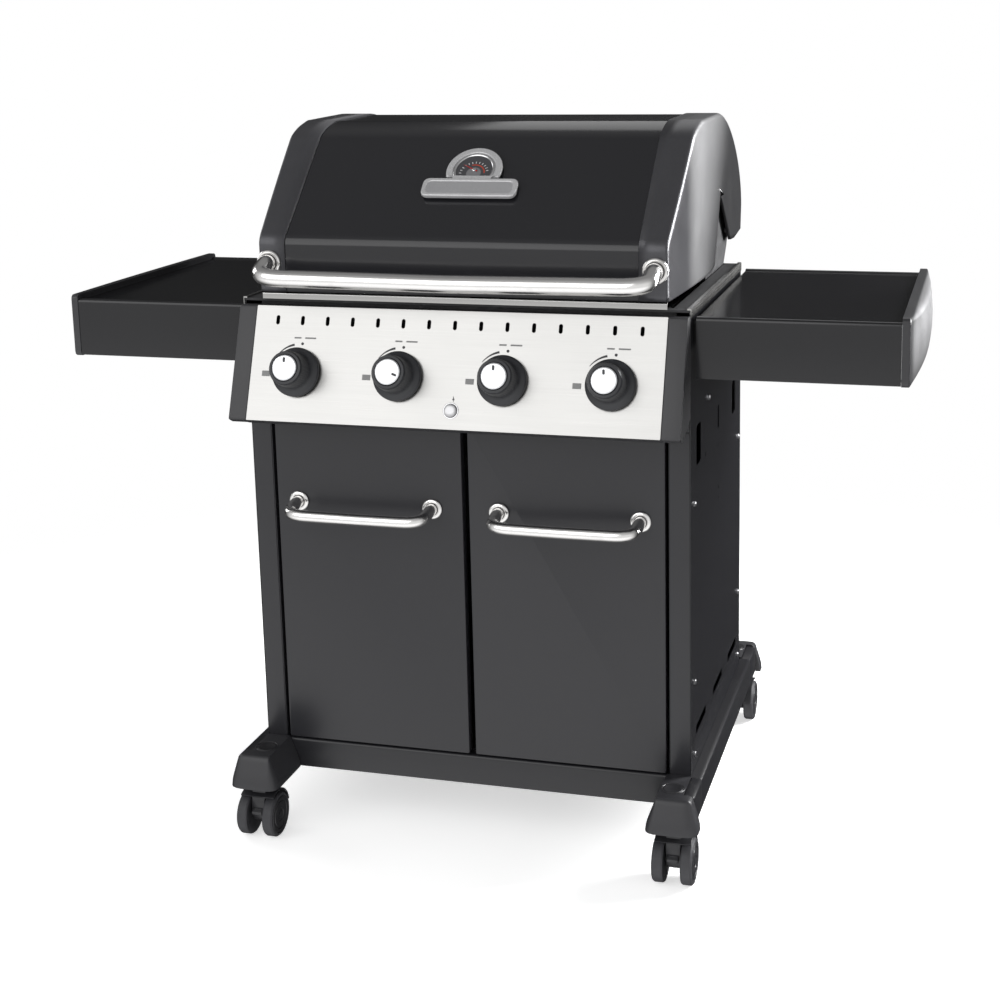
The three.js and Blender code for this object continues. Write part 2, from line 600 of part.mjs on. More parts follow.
function firebox() {
  const half = FIREBOX_HALF_WIDTH;
  const block = box(-half, half, FIREBOX_FRONT, FIREBOX_BACK, FIREBOX_BOTTOM, FIREBOX_RIM);
  const rimBottom = FIREBOX_RIM - RIM_THICKNESS;
  const rim = box(-CART_HALF_WIDTH, CART_HALF_WIDTH, RIM_FRONT, FIREBOX_BACK, rimBottom, FIREBOX_RIM);
  const upperHalf = half - FIREBOX_WALL;
  const upper = box(-upperHalf, upperHalf, FIREBOX_FRONT + FIREBOX_WALL, FIREBOX_BACK - FIREBOX_WALL,
    LEDGE_Z, FIREBOX_RIM + 1);
  const lowerHalf = upperHalf - LEDGE_WIDTH;
  const lower = box(-lowerHalf, lowerHalf, FIREBOX_FRONT + FIREBOX_WALL + LEDGE_WIDTH,
    FIREBOX_BACK - FIREBOX_WALL - LEDGE_WIDTH, FIREBOX_BOTTOM + FIREBOX_WALL, LEDGE_Z + 1);
  const drain = box(-60, 60, -50, 90, FIREBOX_BOTTOM - 1, FIREBOX_BOTTOM + FIREBOX_WALL + 1);
  const ports = KNOB_X.map((x) => rod('y', BURNER_RADIUS + 3, FIREBOX_FRONT - 1,
    FIREBOX_FRONT + FIREBOX_WALL + LEDGE_WIDTH + 1, [x, BURNER_Z], 16));
  const ears = SIDES.map(([, side]) => prismX(earOutline(), ...span(side, EAR_X, EAR_X + EAR_THICKNESS)));
  const run = [TRAY_FRONT, TRAY_BACK - 6, TRAY_FLANGE_Z - 3.5];
  const runners = SIDES.flatMap(([, side]) => [
    box(...span(side, TRAY_HALF + 10, TRAY_HALF + 14), ...run, FIREBOX_BOTTOM + 1),
    box(...span(side, TRAY_HALF + 3, TRAY_HALF + 14), ...run, TRAY_FLANGE_Z - 0.5),
  ]);
  const tub = cut(join(block, rim), upper, lower, drain, ...ports);
  return join(tub, ...ears, ...runners);
}

function burner() {
  const front = FIREBOX_FRONT - 6;
  const profile = [[0, BURNER_BACK], [BURNER_RADIUS, BURNER_BACK], [BURNER_RADIUS, front + 60],
    [11, front + 40], [11, front + 20], [BURNER_RADIUS - 1, front], [0, front]];
  return new THREE.LatheGeometry(points2(profile.reverse()), 12);
}

function grid(side) {
  const outer = FIREBOX_HALF_WIDTH - FIREBOX_WALL - 1.5;
  const front = FIREBOX_FRONT + FIREBOX_WALL + 1.5;
  const back = FIREBOX_BACK - FIREBOX_WALL - 1.5;
  const [x0, x1] = span(side, 0.5, outer);
  const bottom = LEDGE_Z + GAP;
  const top = bottom + GRID_THICKNESS;
  const pitch = (x1 - x0 - GRID_BORDER * 2 + GRID_BAR) / GRID_SLOTS;
  const slots = Array.from({ length: GRID_SLOTS }, (_, i) => x0 + GRID_BORDER + pitch * i).flatMap((x) => [
    box(x, x + pitch - GRID_BAR, front + GRID_BORDER, -GRID_BORDER, bottom - 1, top + 1),
    box(x, x + pitch - GRID_BAR, 0, back - GRID_BORDER, bottom - 1, top + 1),
  ]);
  return cut(box(x0, x1, front, back, bottom, top), ...slots);
}

function heatTamer() {
  const half = FIREBOX_HALF_WIDTH - FIREBOX_WALL - LEDGE_WIDTH - 2;
  const fold = 18;
  const line = [[-half, 0]];
  for (const x of KNOB_X) line.push([x - 46, 0], [x - 30, 0], [x, fold], [x + 30, 0], [x + 46, 0]);
  line.push([half, 0]);
  const top = line.map(([x, z]) => [x, z + TAMER_Z + SHEET]);
  const bottom = line.map(([x, z]) => [x, z + TAMER_Z]).reverse();
  const sheet = prismY([...bottom.reverse(), ...top.reverse()], FIREBOX_FRONT + 30, FIREBOX_BACK - 30);
  const slots = [-173, 0, 173].map((x) => box(x - 18, x + 18, -180, 170, TAMER_Z - 5, TAMER_Z + 10));
  return cut(sheet, ...slots);
}

function warmingRack() {
  const [half, front, back] = RACK_SIZE;
  const top = RACK_Z + RACK_WIRE;
  const pitch = (back - front - RACK_WIRE) / RACK_SLOTS;
  const slots = Array.from({ length: RACK_SLOTS }, (_, i) => front + RACK_WIRE + pitch * i).flatMap((y) => [
    box(-half + RACK_WIRE, -RACK_WIRE / 2, y, y + pitch - RACK_WIRE, RACK_Z - 1, top + 1),
    box(RACK_WIRE / 2, half - RACK_WIRE, y, y + pitch - RACK_WIRE, RACK_Z - 1, top + 1),
  ]);
  const shelf = cut(box(-half, half, front, back, RACK_Z, top), ...slots);
  const legY = (front + back) / 2;
  const legFoot = LEDGE_Z + GRID_THICKNESS + 1;
  const legs = SIDES.flatMap(([, side]) => [
    box(...span(side, half - 1, RACK_LEG_X + RACK_WIRE), legY, legY + RACK_WIRE, RACK_Z, top),
    box(...span(side, RACK_LEG_X, RACK_LEG_X + RACK_WIRE), legY, legY + RACK_WIRE, legFoot, top),
  ]);
  return join(shelf, ...legs);
}

function greaseTray() {
  const rimTop = TRAY_FLANGE_Z + 2.5;
  const flange = box(-TRAY_HALF - 8, TRAY_HALF + 8, TRAY_FRONT, TRAY_BACK, TRAY_FLANGE_Z, rimTop);
  const pan = box(-TRAY_HALF, TRAY_HALF, TRAY_FRONT, TRAY_BACK, TRAY_BOTTOM, rimTop);
  const hollow = box(-TRAY_HALF + 2, TRAY_HALF - 2, TRAY_FRONT + 2, TRAY_BACK - 2, TRAY_BOTTOM + 2, rimTop + 1);
  const pull = box(-60, 60, TRAY_BACK - 1, TRAY_BACK + 16, rimTop - 2.5, rimTop);
  return join(cut(join(flange, pan), hollow), pull);
}

function frontLip() {
  const front = CART_FRONT - 6;
  const outline = [[front, FIREBOX_RIM + GAP], [front + 1.5, FIREBOX_RIM + GAP], [front + 1.5, LID_RIM - 4],
    [CART_FRONT + 4, LID_RIM - 4], [CART_FRONT + 4, LID_RIM - 2.5], [front, LID_RIM - 2.5]];
  const half = CART_HALF_WIDTH - 35;
  return prismX(outline, -half, half);
}

function addFirebox() {
  add('firebox', firebox(), IRON);
  add('firebox_front_lip', frontLip(), STAINLESS);
  KNOB_X.forEach((x, i) => add(`burner_${i + 1}`, burner(), ALUMINIUM).position.set(x, 0, BURNER_Z));
  add('heat_tamer', heatTamer(), STAINLESS);
  for (const [name, side] of SIDES) {
    add(`cooking_grid_${name}`, grid(side), IRON);
    add(`lid_hinge_pin_${name}`, rod('x', LID_PIN_RADIUS,
      ...span(side, EAR_X - 6, LID_HALF_WIDTH - 2.5), PIVOT_LID, 14), ALUMINIUM);
  }
  add('warming_rack', warmingRack(), CHROME);
  add('grease_tray', greaseTray(), ALUMINIUM);
}

// ---------------------------------------------------------------- lid
// The lid's outer line in (Y, Z), from its front rim over the top to its rear rim.
function lidLine(inset = 0) {
  const path = new THREE.Path();
  path.moveTo(LID_FRONT, LID_RIM);
  path.lineTo(LID_FRONT, CREASE_Z - 12);
  path.quadraticCurveTo(LID_FRONT, CREASE_Z, LID_FRONT + 10, CREASE_Z + 9);
  path.lineTo(BROW[0] - 18, BROW[1] - 17);
  path.quadraticCurveTo(BROW[0], BROW[1], BROW[0] + 60, LID_TOP - 2);
  path.lineTo(120, LID_TOP);
  path.bezierCurveTo(230, LID_TOP, LID_BACK, 1100, LID_BACK, 1010);
  path.lineTo(LID_BACK - 8, LID_BACK_RIM);
  const line = path.getPoints(6);
  return inset ? offsetLine(line, -inset) : line;
}

function lidEnd(side) {
  const outer = lidLine();
  const notch = points2([[LID_BACK - 90, LID_BACK_RIM - 6], [LID_BACK - 136, LID_BACK_RIM - 4], NOTCH_TIP,
    [NOTCH_FRONT, LID_RIM]]);
  const flank = new THREE.Shape([...outer, ...notch]);
  const wall = prismX(flank, ...span(side, LID_HALF_WIDTH - CASTING_WALL, LID_HALF_WIDTH));
  const arch = prismX(band(outer, CASTING_WALL), ...span(side, LID_SKIN_HALF + GAP, LID_HALF_WIDTH - 1));
  const pin = rod('x', LID_PIN_RADIUS + BEARING_GAP, ...span(side, LID_HALF_WIDTH - CASTING_WALL - 12,
    LID_HALF_WIDTH - 2), PIVOT_LID, 14);
  const lugSpan = span(side, LID_HALF_WIDTH - CASTING_WALL - 2, LID_HALF_WIDTH);
  const lug = rod('x', LUG_RADIUS, ...lugSpan, PIVOT_LID, 20);
  return cut(join(wall, arch, lug), pin);
}

function lidSkin() {
  const sheet = prismX(band(lidLine(1.5), LID_SHEET), -LID_SKIN_HALF, LID_SKIN_HALF);
  const probe = slopeRod(6, -20, 20, GAUGE_S, 12);
  return cut(sheet, probe);
}

// A rod square to the lid's front slope, s up the slope from the crease.
const slope = new THREE.Vector2(BROW[0] - LID_FRONT - 10, BROW[1] - CREASE_Z - 9).normalize();
const slopeAngle = Math.atan2(slope.y, slope.x);
const onSlope = (s) => [LID_FRONT + 10 + slope.x * s, CREASE_Z + 9 + slope.y * s];

function slopeRod(radius, from, to, s, sides) {
  const [y, z] = onSlope(s);
  return rod('z', radius, from, to, [0, 0], sides).rotateX(slopeAngle).translate(0, y, z);
}

function gauge() {
  const [y, z] = onSlope(PLATE_S);
  const plate = extrude(roundedRect(...PLATE_SIZE, 12), 6).translate(0, 0, GAP).rotateX(slopeAngle)
    .translate(0, y, z);
  const dial = slopeRod(GAUGE_RADIUS, GAP, 10, GAUGE_S - 10, 28);
  const probe = slopeRod(4, -60, 2, GAUGE_S, 12);
  return join(plate, dial, probe);
}

function lidHandle() {
  const [barY, barZ] = LID_HANDLE_BAR;
  const x = LID_HANDLE_X;
  const face = LID_FRONT - GAP;
  const root = face - 4;
  const route = [[-x, root, LID_HANDLE_Z], [-x, face - 22, LID_HANDLE_Z - 5], [-x + 6, barY + 12, barZ + 4],
    [-x + 26, barY, barZ], [0, barY, barZ], [x - 26, barY, barZ], [x - 6, barY + 12, barZ + 4],
    [x, face - 22, LID_HANDLE_Z - 5], [x, root, LID_HANDLE_Z]];
  const tube = barThrough(route, LID_HANDLE_RADIUS, 28, 12);
  const bosses = [-x, x].map((bx) => rod('y', LID_BOSS_RADIUS, face - 6, face, [bx, LID_HANDLE_Z], 18));
  return join(tube, ...bosses);
}

function addLid() {
  add('lid_skin', lidSkin(), ENAMEL);
  for (const [name, side] of SIDES) add(`lid_end_${name}`, lidEnd(side), CHARCOAL);
  add('lid_handle', lidHandle(), CHROME);
  add('temperature_gauge', gauge(), CHROME);
}

// ---------------------------------------------------------------- side shelves
function shelf(side) {
  const outline = [[SHELF_FRONT, SHELF_BOTTOM], [SHELF_FRONT + SHEET, SHELF_BOTTOM],
    [SHELF_FRONT + SHEET, SHELF_TOP - SHEET], [SHELF_BACK - SHEET, SHELF_TOP - SHEET],
    [SHELF_BACK - SHEET, SHELF_TOP - 55], [SHELF_BACK, SHELF_TOP - 55], [SHELF_BACK, SHELF_TOP],
    [SHELF_FRONT, SHELF_TOP]];
  const deck = prismX(outline, ...span(side, SHELF_INNER, SHELF_OUTER));
  const end = box(...span(side, SHELF_INNER, SHELF_INNER + SHEET), SHELF_FRONT + 1, SHELF_BACK - 1,
    SHELF_TOP - 55, SHELF_TOP - 1);
  const across = span(side, CART_HALF_WIDTH + GAP, SHELF_INNER + 1);
  const spacers = [-190, 190].map((y) => box(...across, y - 20, y + 20, SHELF_TOP - 50, SHELF_TOP - 15));
  return join(deck, end, ...spacers);
}

function shelfEndCap(side) {
  const inner = SHELF_OUTER + GAP;
  const outline = new THREE.Shape();
  outline.moveTo(inner, SHELF_FRONT - 1);
  outline.lineTo(CAP_CORNER_X - 6, SHELF_FRONT - 1);
  outline.quadraticCurveTo(CAP_CORNER_X, SHELF_FRONT - 1, CAP_CORNER_X + 2, SHELF_FRONT + 14);
  outline.quadraticCurveTo(CAP_CROWN_X * 2 - CAP_CORNER_X - 2, (SHELF_FRONT + SHELF_BACK) / 2,
    CAP_CORNER_X + 2, SHELF_BACK - 14);
  outline.quadraticCurveTo(CAP_CORNER_X, SHELF_BACK + 1, CAP_CORNER_X - 6, SHELF_BACK + 1);
  outline.lineTo(inner, SHELF_BACK + 1);
  const form = extrude(outline, CAP_TOP - CAP_BOTTOM, 8).translate(0, 0, CAP_BOTTOM);
  const pocket = box(inner - 1, CAP_CORNER_X - CAP_WALL, SHELF_FRONT + CAP_WALL, SHELF_BACK - CAP_WALL,
    CAP_BOTTOM - 1, CAP_TOP - CAP_WALL);
  const cap = toGeometry(cut(form, pocket));
  return side > 0 ? cap : cap.rotateZ(Math.PI).translate(0, SHELF_FRONT + SHELF_BACK, 0);
}

function addShelves() {
  for (const [name, side] of SIDES) {
    add(`side_shelf_${name}`, shelf(side), ENAMEL);
    add(`shelf_end_cap_${name}`, shelfEndCap(side), CHARCOAL);
  }
}

addBase();
addCart();
addDoors();
addControls();
addFirebox();
addLid();
addShelves();

export default grill;
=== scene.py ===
"""Gas barbecue grill on a two-door cart: surfaces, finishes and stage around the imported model."""

import math

import bmesh
import bpy
import numpy as np
from mathutils import Matrix, Vector


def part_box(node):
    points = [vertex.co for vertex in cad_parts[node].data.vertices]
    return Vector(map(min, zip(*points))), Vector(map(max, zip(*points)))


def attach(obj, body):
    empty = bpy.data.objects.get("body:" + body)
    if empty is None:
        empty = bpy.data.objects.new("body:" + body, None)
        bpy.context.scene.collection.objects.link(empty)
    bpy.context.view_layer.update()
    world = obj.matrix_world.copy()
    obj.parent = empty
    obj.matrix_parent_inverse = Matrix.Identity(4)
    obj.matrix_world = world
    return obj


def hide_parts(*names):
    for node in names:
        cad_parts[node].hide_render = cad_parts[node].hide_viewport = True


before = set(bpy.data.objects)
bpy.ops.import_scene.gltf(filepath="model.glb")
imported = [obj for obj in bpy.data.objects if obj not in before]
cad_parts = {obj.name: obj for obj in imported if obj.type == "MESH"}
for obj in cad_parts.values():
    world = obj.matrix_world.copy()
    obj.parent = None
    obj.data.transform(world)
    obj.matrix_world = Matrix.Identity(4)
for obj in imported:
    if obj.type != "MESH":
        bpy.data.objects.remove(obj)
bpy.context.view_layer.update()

bl_info = {
    "name": "Gas barbecue grill",
    "version": (1, 0, 0),
    "blender": (4, 5, 0),
    "location": "3D Viewport > Sidebar > Grill",
    "description": "Builds a gas barbecue grill on its cart, with its finishes and a stage",
    "category": "Add Mesh",
}

MM = 0.001
TINY = 1e-6
SIDES = (("left", -1), ("right", 1))
ENDS = (("front", -1), ("rear", 1))


def node_box(name):
    """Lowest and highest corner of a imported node, in millimetres."""
    low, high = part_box(name)
    return np.array(low) / MM, np.array(high) / MM


# ------------------------------------------------------------------ sizes in millimetres
CART_LOW, CART_HIGH = node_box("side_panel_right")
CART_HALF = float(CART_HIGH[0])
CART_FRONT, CART_BACK = float(CART_LOW[1]), float(CART_HIGH[1])
SKIN_HALF = float(node_box("lid_skin")[1][0])
END_LOW, END_HIGH = node_box("lid_end_right")
SHOE_FOOT = float(node_box("foot_shoe_front_right")[0][2])
SHOE_TOP = 151.0
CABINET_TOP = 724.0
RAIL_WALL = 3.0
PLUG_X, CASTER_X = 352.0, 358.0
STEM_Y, AXLE_Y = 312.0, 328.0

FASCIA_HALF = 341.0
FASCIA_FOOT = np.array([-345.0, 732.0])
FASCIA_HEAD = np.array([-278.0, 909.0])
FASCIA_LENGTH = float(np.hypot(*(FASCIA_HEAD - FASCIA_FOOT)))
LEAN = (FASCIA_HEAD - FASCIA_FOOT) / FASCIA_LENGTH
PROUD = np.array([-LEAN[1], LEAN[0]])
VENT_Z, VENT_PITCH, VENTS = 887.0, 43.2, 15
KNOB_X = (-259.6, -86.4, 86.4, 259.6)
KNOB_Z = 807.0
BUTTON_AT = (5.0, 760.0)

NOTCH = np.array([[286.6, 959.0], [240.6, 961.0], [136.0, 1058.0], [72.0, 931.5]])
CREASE_Z = 1018.0
BROW = np.array([-92.0, 1184.0])
LID_FRONT, LID_BACK = float(END_LOW[1]), float(END_HIGH[1])
LID_RIM, LID_TOP = 931.5, float(END_HIGH[2])
SKIN_INSET, SKIN_WALL = 2.2, 2.4
SLOPE_FOOT = np.array([LID_FRONT + 10.0, CREASE_Z + 9.0])
SLOPE = (BROW - SLOPE_FOOT) / np.hypot(*(BROW - SLOPE_FOOT))
DIAL_S, BADGE_S, GAUGE_LIFT = 133.0, 94.0, 1.9

SHELF_INNER, SHELF_OUTER = 378.0, 690.0


# ------------------------------------------------------------------ surfaces
def grid_faces(m, n, close_u=False, close_v=False):
    """Quads over an m by n grid of points, wrapped round in u or v where the surface closes."""
    index = np.arange(m * n).reshape(m, n)
    if close_u:
        index = np.vstack([index, index[:1]])
    if close_v:
        index = np.hstack([index, index[:, :1]])
    return np.stack([index[:-1, :-1], index[1:, :-1], index[1:, 1:], index[:-1, 1:]], -1).reshape(-1, 4)


def shell(points, close_u=False, close_v=False, caps=False):
    """A grid of points (m, n, 3) as one sheet of quads; caps closes the first and last row of u."""
    m, n = points.shape[:2]
    faces = grid_faces(m, n, close_u, close_v).tolist()
    if caps:
        faces += [list(range(n))[::-1], list(range((m - 1) * n, m * n))]
    return points.reshape(-1, 3), faces


def arc(centre, radius, start, stop, count):
    """Points of a circle's arc: centre + radius (cos a, sin a), a from start to stop in degrees."""
    a = np.radians(np.linspace(start, stop, count))
    return np.stack([centre[0] + radius * np.cos(a), centre[1] + radius * np.sin(a)], -1)


def circle(x, y, radius, count=40):
    return arc((x, y), radius, 0, 360, count + 1)[:-1]


def obround(x, y, width, height, count=9):
    """An upright slot: two half circles of its width, as far apart as it is higher than wide."""
    r, reach = width / 2, (height - width) / 2
    return np.vstack([arc((x, y + reach), r, 0, 180, count), arc((x, y - reach), r, 180, 360, count)])


def bend(a, b, c, t):
    """A quadratic arc from a to c that leans to b: (1-t)^2 a + 2t(1-t) b + t^2 c."""
    return (1 - t) ** 2 * a + 2 * t * (1 - t) * b + t * t * c


def rounded(corners, radius, count=6, closed=True):
    """A polygon whose corners are quadratic arcs, from a radius before each corner to a radius after it."""
    c = np.asarray(corners, float)
    r = np.broadcast_to(np.asarray(radius, float), len(c))[:, None]
    before, after = np.roll(c, 1, 0) - c, np.roll(c, -1, 0) - c
    size_b = np.linalg.norm(before, axis=1, keepdims=True)
    size_a = np.linalg.norm(after, axis=1, keepdims=True)
    a = c + before / size_b * np.minimum(r, size_b * 0.49)
    b = c + after / size_a * np.minimum(r, size_a * 0.49)
    bends = bend(a[:, None], c[:, None], b[:, None], np.linspace(0, 1, count)[None, :, None])
    if closed:
        return bends.reshape(-1, c.shape[1])
    return np.vstack([c[:1], bends[1:-1].reshape(-1, c.shape[1]), c[-1:]])


def walked(line):
    """The length walked along a line up to each of its points."""
    return np.concatenate([[0], np.cumsum(np.linalg.norm(np.diff(line, axis=0), axis=1))])


def at_lengths(at, line):
    """The places (two numbers each) at given lengths along a line."""
    lengths = walked(line)
    return np.stack([np.interp(at, lengths, line[:, 0]), np.interp(at, lengths, line[:, 1])], -1)


def resampled(line, count):
    """A closed outline walked round at equal steps of its own length."""
    loop = np.vstack([line, line[:1]])
    return at_lengths(np.linspace(0, walked(loop)[-1], count, endpoint=False), loop)


def tangents(line):
    """Steps of length one along a line, from the differences between each point's neighbours."""
    along = np.gradient(line, axis=0)
    return along / np.linalg.norm(along, axis=1, keepdims=True)


def inwards(line):
    """The tangents of a flat line given a quarter turn to the right."""
    along = tangents(line)
    return np.stack([along[:, 1], -along[:, 0]], -1)


def rectangle(x0, x1, y0, y1):
    return np.array([[x0, y0], [x1, y0], [x1, y1], [x0, y1]], float)


def mirrored(side, a, b):
    """Two places, multiplied by the side's sign and put in order."""
    return sorted((side * a, side * b))


PLANES = {"x": (1, 2, 0), "y": (0, 2, 1), "z": (0, 1, 2)}


def place(flat, axis, level):
    """A flat outline on the plane square to an axis at a level; its numbers fill the other axes in order."""
    a, b, c = PLANES[axis]
    out = np.zeros((len(flat), 3))
    out[:, a], out[:, b], out[:, c] = flat[:, 0], flat[:, 1], level
    return out


def prism(outline, axis, start, stop, round_end=0.0):
    """An outline carried along an axis, with rounded ends.

    Near each end it is drawn in along its normals by r (1 - sin k) where it has gone r (1 - cos k) along.
    """
    outline = np.asarray(outline, float)
    if not round_end:
        rows = [place(outline, axis, start), place(outline, axis, stop)]
        return shell(np.stack(rows), close_v=True, caps=True)
    tangent = np.roll(outline, -1, 0) - np.roll(outline, 1, 0)
    normal = np.stack([tangent[:, 1], -tangent[:, 0]], -1)
    normal /= np.maximum(np.linalg.norm(normal, axis=1, keepdims=True), 1e-9)
    area = np.sum(outline[:, 0] * np.roll(outline[:, 1], -1) - np.roll(outline[:, 0], -1) * outline[:, 1])
    normal *= -np.sign(area)
    way, quarter = np.sign(stop - start), np.radians(np.linspace(0, 90, 5))
    steps = [(round_end * (1 - np.sin(k)), way * round_end * (1 - np.cos(k))) for k in quarter]
    rows = [place(outline + normal * draw, axis, start + gone) for draw, gone in steps]
    rows += [place(outline + normal * draw, axis, stop - gone) for draw, gone in steps[::-1]]
    return shell(np.stack(rows), close_v=True, caps=True)


def block(x0, x1, y0, y1, z0, z1, radius=1.5):
    """A box with rounded edges: a rounded rectangle carried up, its ends drawn in on a quarter circle."""
    return prism(rounded(rectangle(x0, x1, y0, y1), radius, 4), "z", z0, z1, radius * 0.8)


def turned(profile, origin, axis, sides=48, ridges=0, depth=0.0, between=(0, 0)):
    """A profile of (radius, height) pairs turned about an axis.

    Ridges add depth * cos(ridges * angle) to the radii between two of its rows.
    """
    profile = np.asarray(profile, float)
    axis = np.asarray(axis, float) / np.linalg.norm(axis)
    side = np.cross(axis, [0.0, 0.0, 1.0] if abs(axis[2]) < 0.9 else [1.0, 0.0, 0.0])
    side /= np.linalg.norm(side)
    other = np.cross(axis, side)
    a = np.linspace(0, 2 * np.pi, sides, endpoint=False)
    radius = np.repeat(profile[:, :1], sides, 1)
    radius[slice(*between)] += depth * np.cos(ridges * a)[None, :]
    ring = np.cos(a)[None, :, None] * side + np.sin(a)[None, :, None] * other
    points = np.asarray(origin, float) + profile[:, 1, None, None] * axis + radius[:, :, None] * ring
    solid = profile[0, 0] < TINY and profile[-1, 0] < TINY
    return shell(points, close_u=not solid, close_v=True)


def tube(path, radius, sides=20, reference=(0.0, 0.0, 1.0)):
    """A round section carried along a path: centre + radius (cos a N + sin a B).

    N is the reference made square to the path, and B is square to both.
    """
    path, reference = np.asarray(path, float), np.asarray(reference, float)
    along = tangents(path)
    n = reference - (along @ reference)[:, None] * along
    n /= np.linalg.norm(n, axis=1, keepdims=True)
    b = np.cross(along, n)
    a = np.linspace(0, 2 * np.pi, sides, endpoint=False)
    ring = np.cos(a)[None, :, None] * n[:, None] + np.sin(a)[None, :, None] * b[:, None]
    return shell(path[:, None] + radius * ring, close_v=True, caps=True)


def tilted(up, out, foot):
    """A matrix that lays x, y, z along x, up a leaning face and out of it, from the face's foot."""
    rows = [(0, up[i], out[i], foot[i] * MM) for i in (0, 1)]
    return Matrix(((1, 0, 0, 0), *rows, (0, 0, 0, 1)))


SLOPE_OUT = np.array([-SLOPE[1], SLOPE[0]])
PANEL_AXIS, SLOPE_AXIS = np.array([0.0, *PROUD]), np.array([0.0, *SLOPE_OUT])
PANEL_FRAME = tilted(LEAN, PROUD, FASCIA_FOOT)
SLOPE_FRAME = tilted(SLOPE, SLOPE_OUT, SLOPE_FOOT)


def panel_point(x, v, w):
    """A place on the leaning fascia: x across, v up it from its foot, w out of it."""
    return np.array([x, *(FASCIA_FOOT + LEAN * v + PROUD * w)])


def panel_up(z):
    return (z - FASCIA_FOOT[1]) / LEAN[1]


def slope_point(x, s, w):
    """A place on the lid's front slope: x across, s up it from the crease, w out of it."""
    return np.array([x, *(SLOPE_FOOT + SLOPE * s + SLOPE_OUT * w)])


def lid_line(inset=0.0, count=24):
    """The lid's outline (y, z) from front rim over the top to back rim, moved in by inset.

    Its straights are joined by quadratic arcs at crease and brow, and by a cubic arc at the back:
    (1-t)^3 a + 3t(1-t)^2 b + 3t^2(1-t) c + t^3 d.
    """
    t = np.linspace(0, 1, count)[:, None]
    crease_foot = np.array([LID_FRONT, CREASE_Z - 12])
    brow_foot, brow_end = BROW + [-18, -17], np.array([BROW[0] + 60, LID_TOP - 2])
    crease = bend(crease_foot, np.array([LID_FRONT, CREASE_Z]), SLOPE_FOOT, t)
    brow = bend(brow_foot, BROW, brow_end, t)
    a, b, c, d = np.array([(120, LID_TOP), (230, LID_TOP), (LID_BACK, 1100), (LID_BACK, 1010)])
    back = (1 - t) ** 3 * a + 3 * t * (1 - t) ** 2 * b + 3 * t * t * (1 - t) * c + t ** 3 * d
    front = np.linspace([LID_FRONT, LID_RIM], crease_foot, 8, endpoint=False)
    slope = np.linspace(SLOPE_FOOT, brow_foot, 10)[1:-1]
    top = np.linspace(brow_end, a, 10)[1:-1]
    line = np.vstack([front, crease, slope, brow, top, back, [[LID_BACK - 8, 965]]])
    return line + inset * inwards(line) if inset else line


# ------------------------------------------------------------------ making a piece
SLOTS = {
    **dict.fromkeys(("door", "lid", "panel", "deck", "rail"), "black_enamel"),
    **dict.fromkeys(("cap", "housing"), "charcoal_plastic"),
    **dict.fromkeys(("steel", "trim", "side_trim"), "stainless"),
    **dict.fromkeys(("shoe", "plug"), "moulded_plastic"),
    **dict.fromkeys(("caster", "tread"), "caster_plastic"),
    **dict.fromkeys(("knob", "ink", "pale_ink"), "knob_plastic"),
    **dict.fromkeys(("knob_cap", "button"), "satin_button"),
    **dict.fromkeys(("chrome", "wire", "silver", "plate", "dial", "needle", "bezel"), "chrome"),
    "casting": "charcoal_casting", "iron": "cast_iron", "bolt": "aluminium",
}


def keep(obj, body, replaces=()):
    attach(obj, body)
    if replaces:
        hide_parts(*replaces)
    return obj


def finish_mesh(obj, look, angle, clean=True):
    """Merges doubles, turns faces outwards, and sets the finish and smooth shading up to an angle."""
    mesh = obj.data
    if clean:
        bm = bmesh.new()
        bm.from_mesh(mesh)
        bmesh.ops.remove_doubles(bm, verts=bm.verts, dist=2e-6)
        bmesh.ops.dissolve_degenerate(bm, edges=bm.edges, dist=1e-7)
        bmesh.ops.recalc_face_normals(bm, faces=bm.faces)
        bm.to_mesh(mesh)
        bm.free()
    mesh.polygons.foreach_set("use_smooth", np.ones(len(mesh.polygons), bool))
    mesh.set_sharp_from_angle(angle=math.radians(angle))
    mesh.materials.clear()
    mesh.materials.append(finishes()[look])


def piece(name, shells, look, body="cart", replaces=(), angle=32.0, clean=True):
    """One named piece from closed shells whose points are in millimetres."""
    points, faces, start = [], [], 0
    for verts, polygons in shells:
        points.append(verts)
        faces += [[i + start for i in f] for f in polygons]
        start += len(verts)
    mesh = bpy.data.meshes.new(name)
    mesh.from_pydata((np.vstack(points) * MM).tolist(), [], faces)
    obj = bpy.data.objects.new(name, mesh)
    bpy.context.scene.collection.objects.link(obj)
    finish_mesh(obj, look, angle, clean)
    return keep(obj, body, replaces)


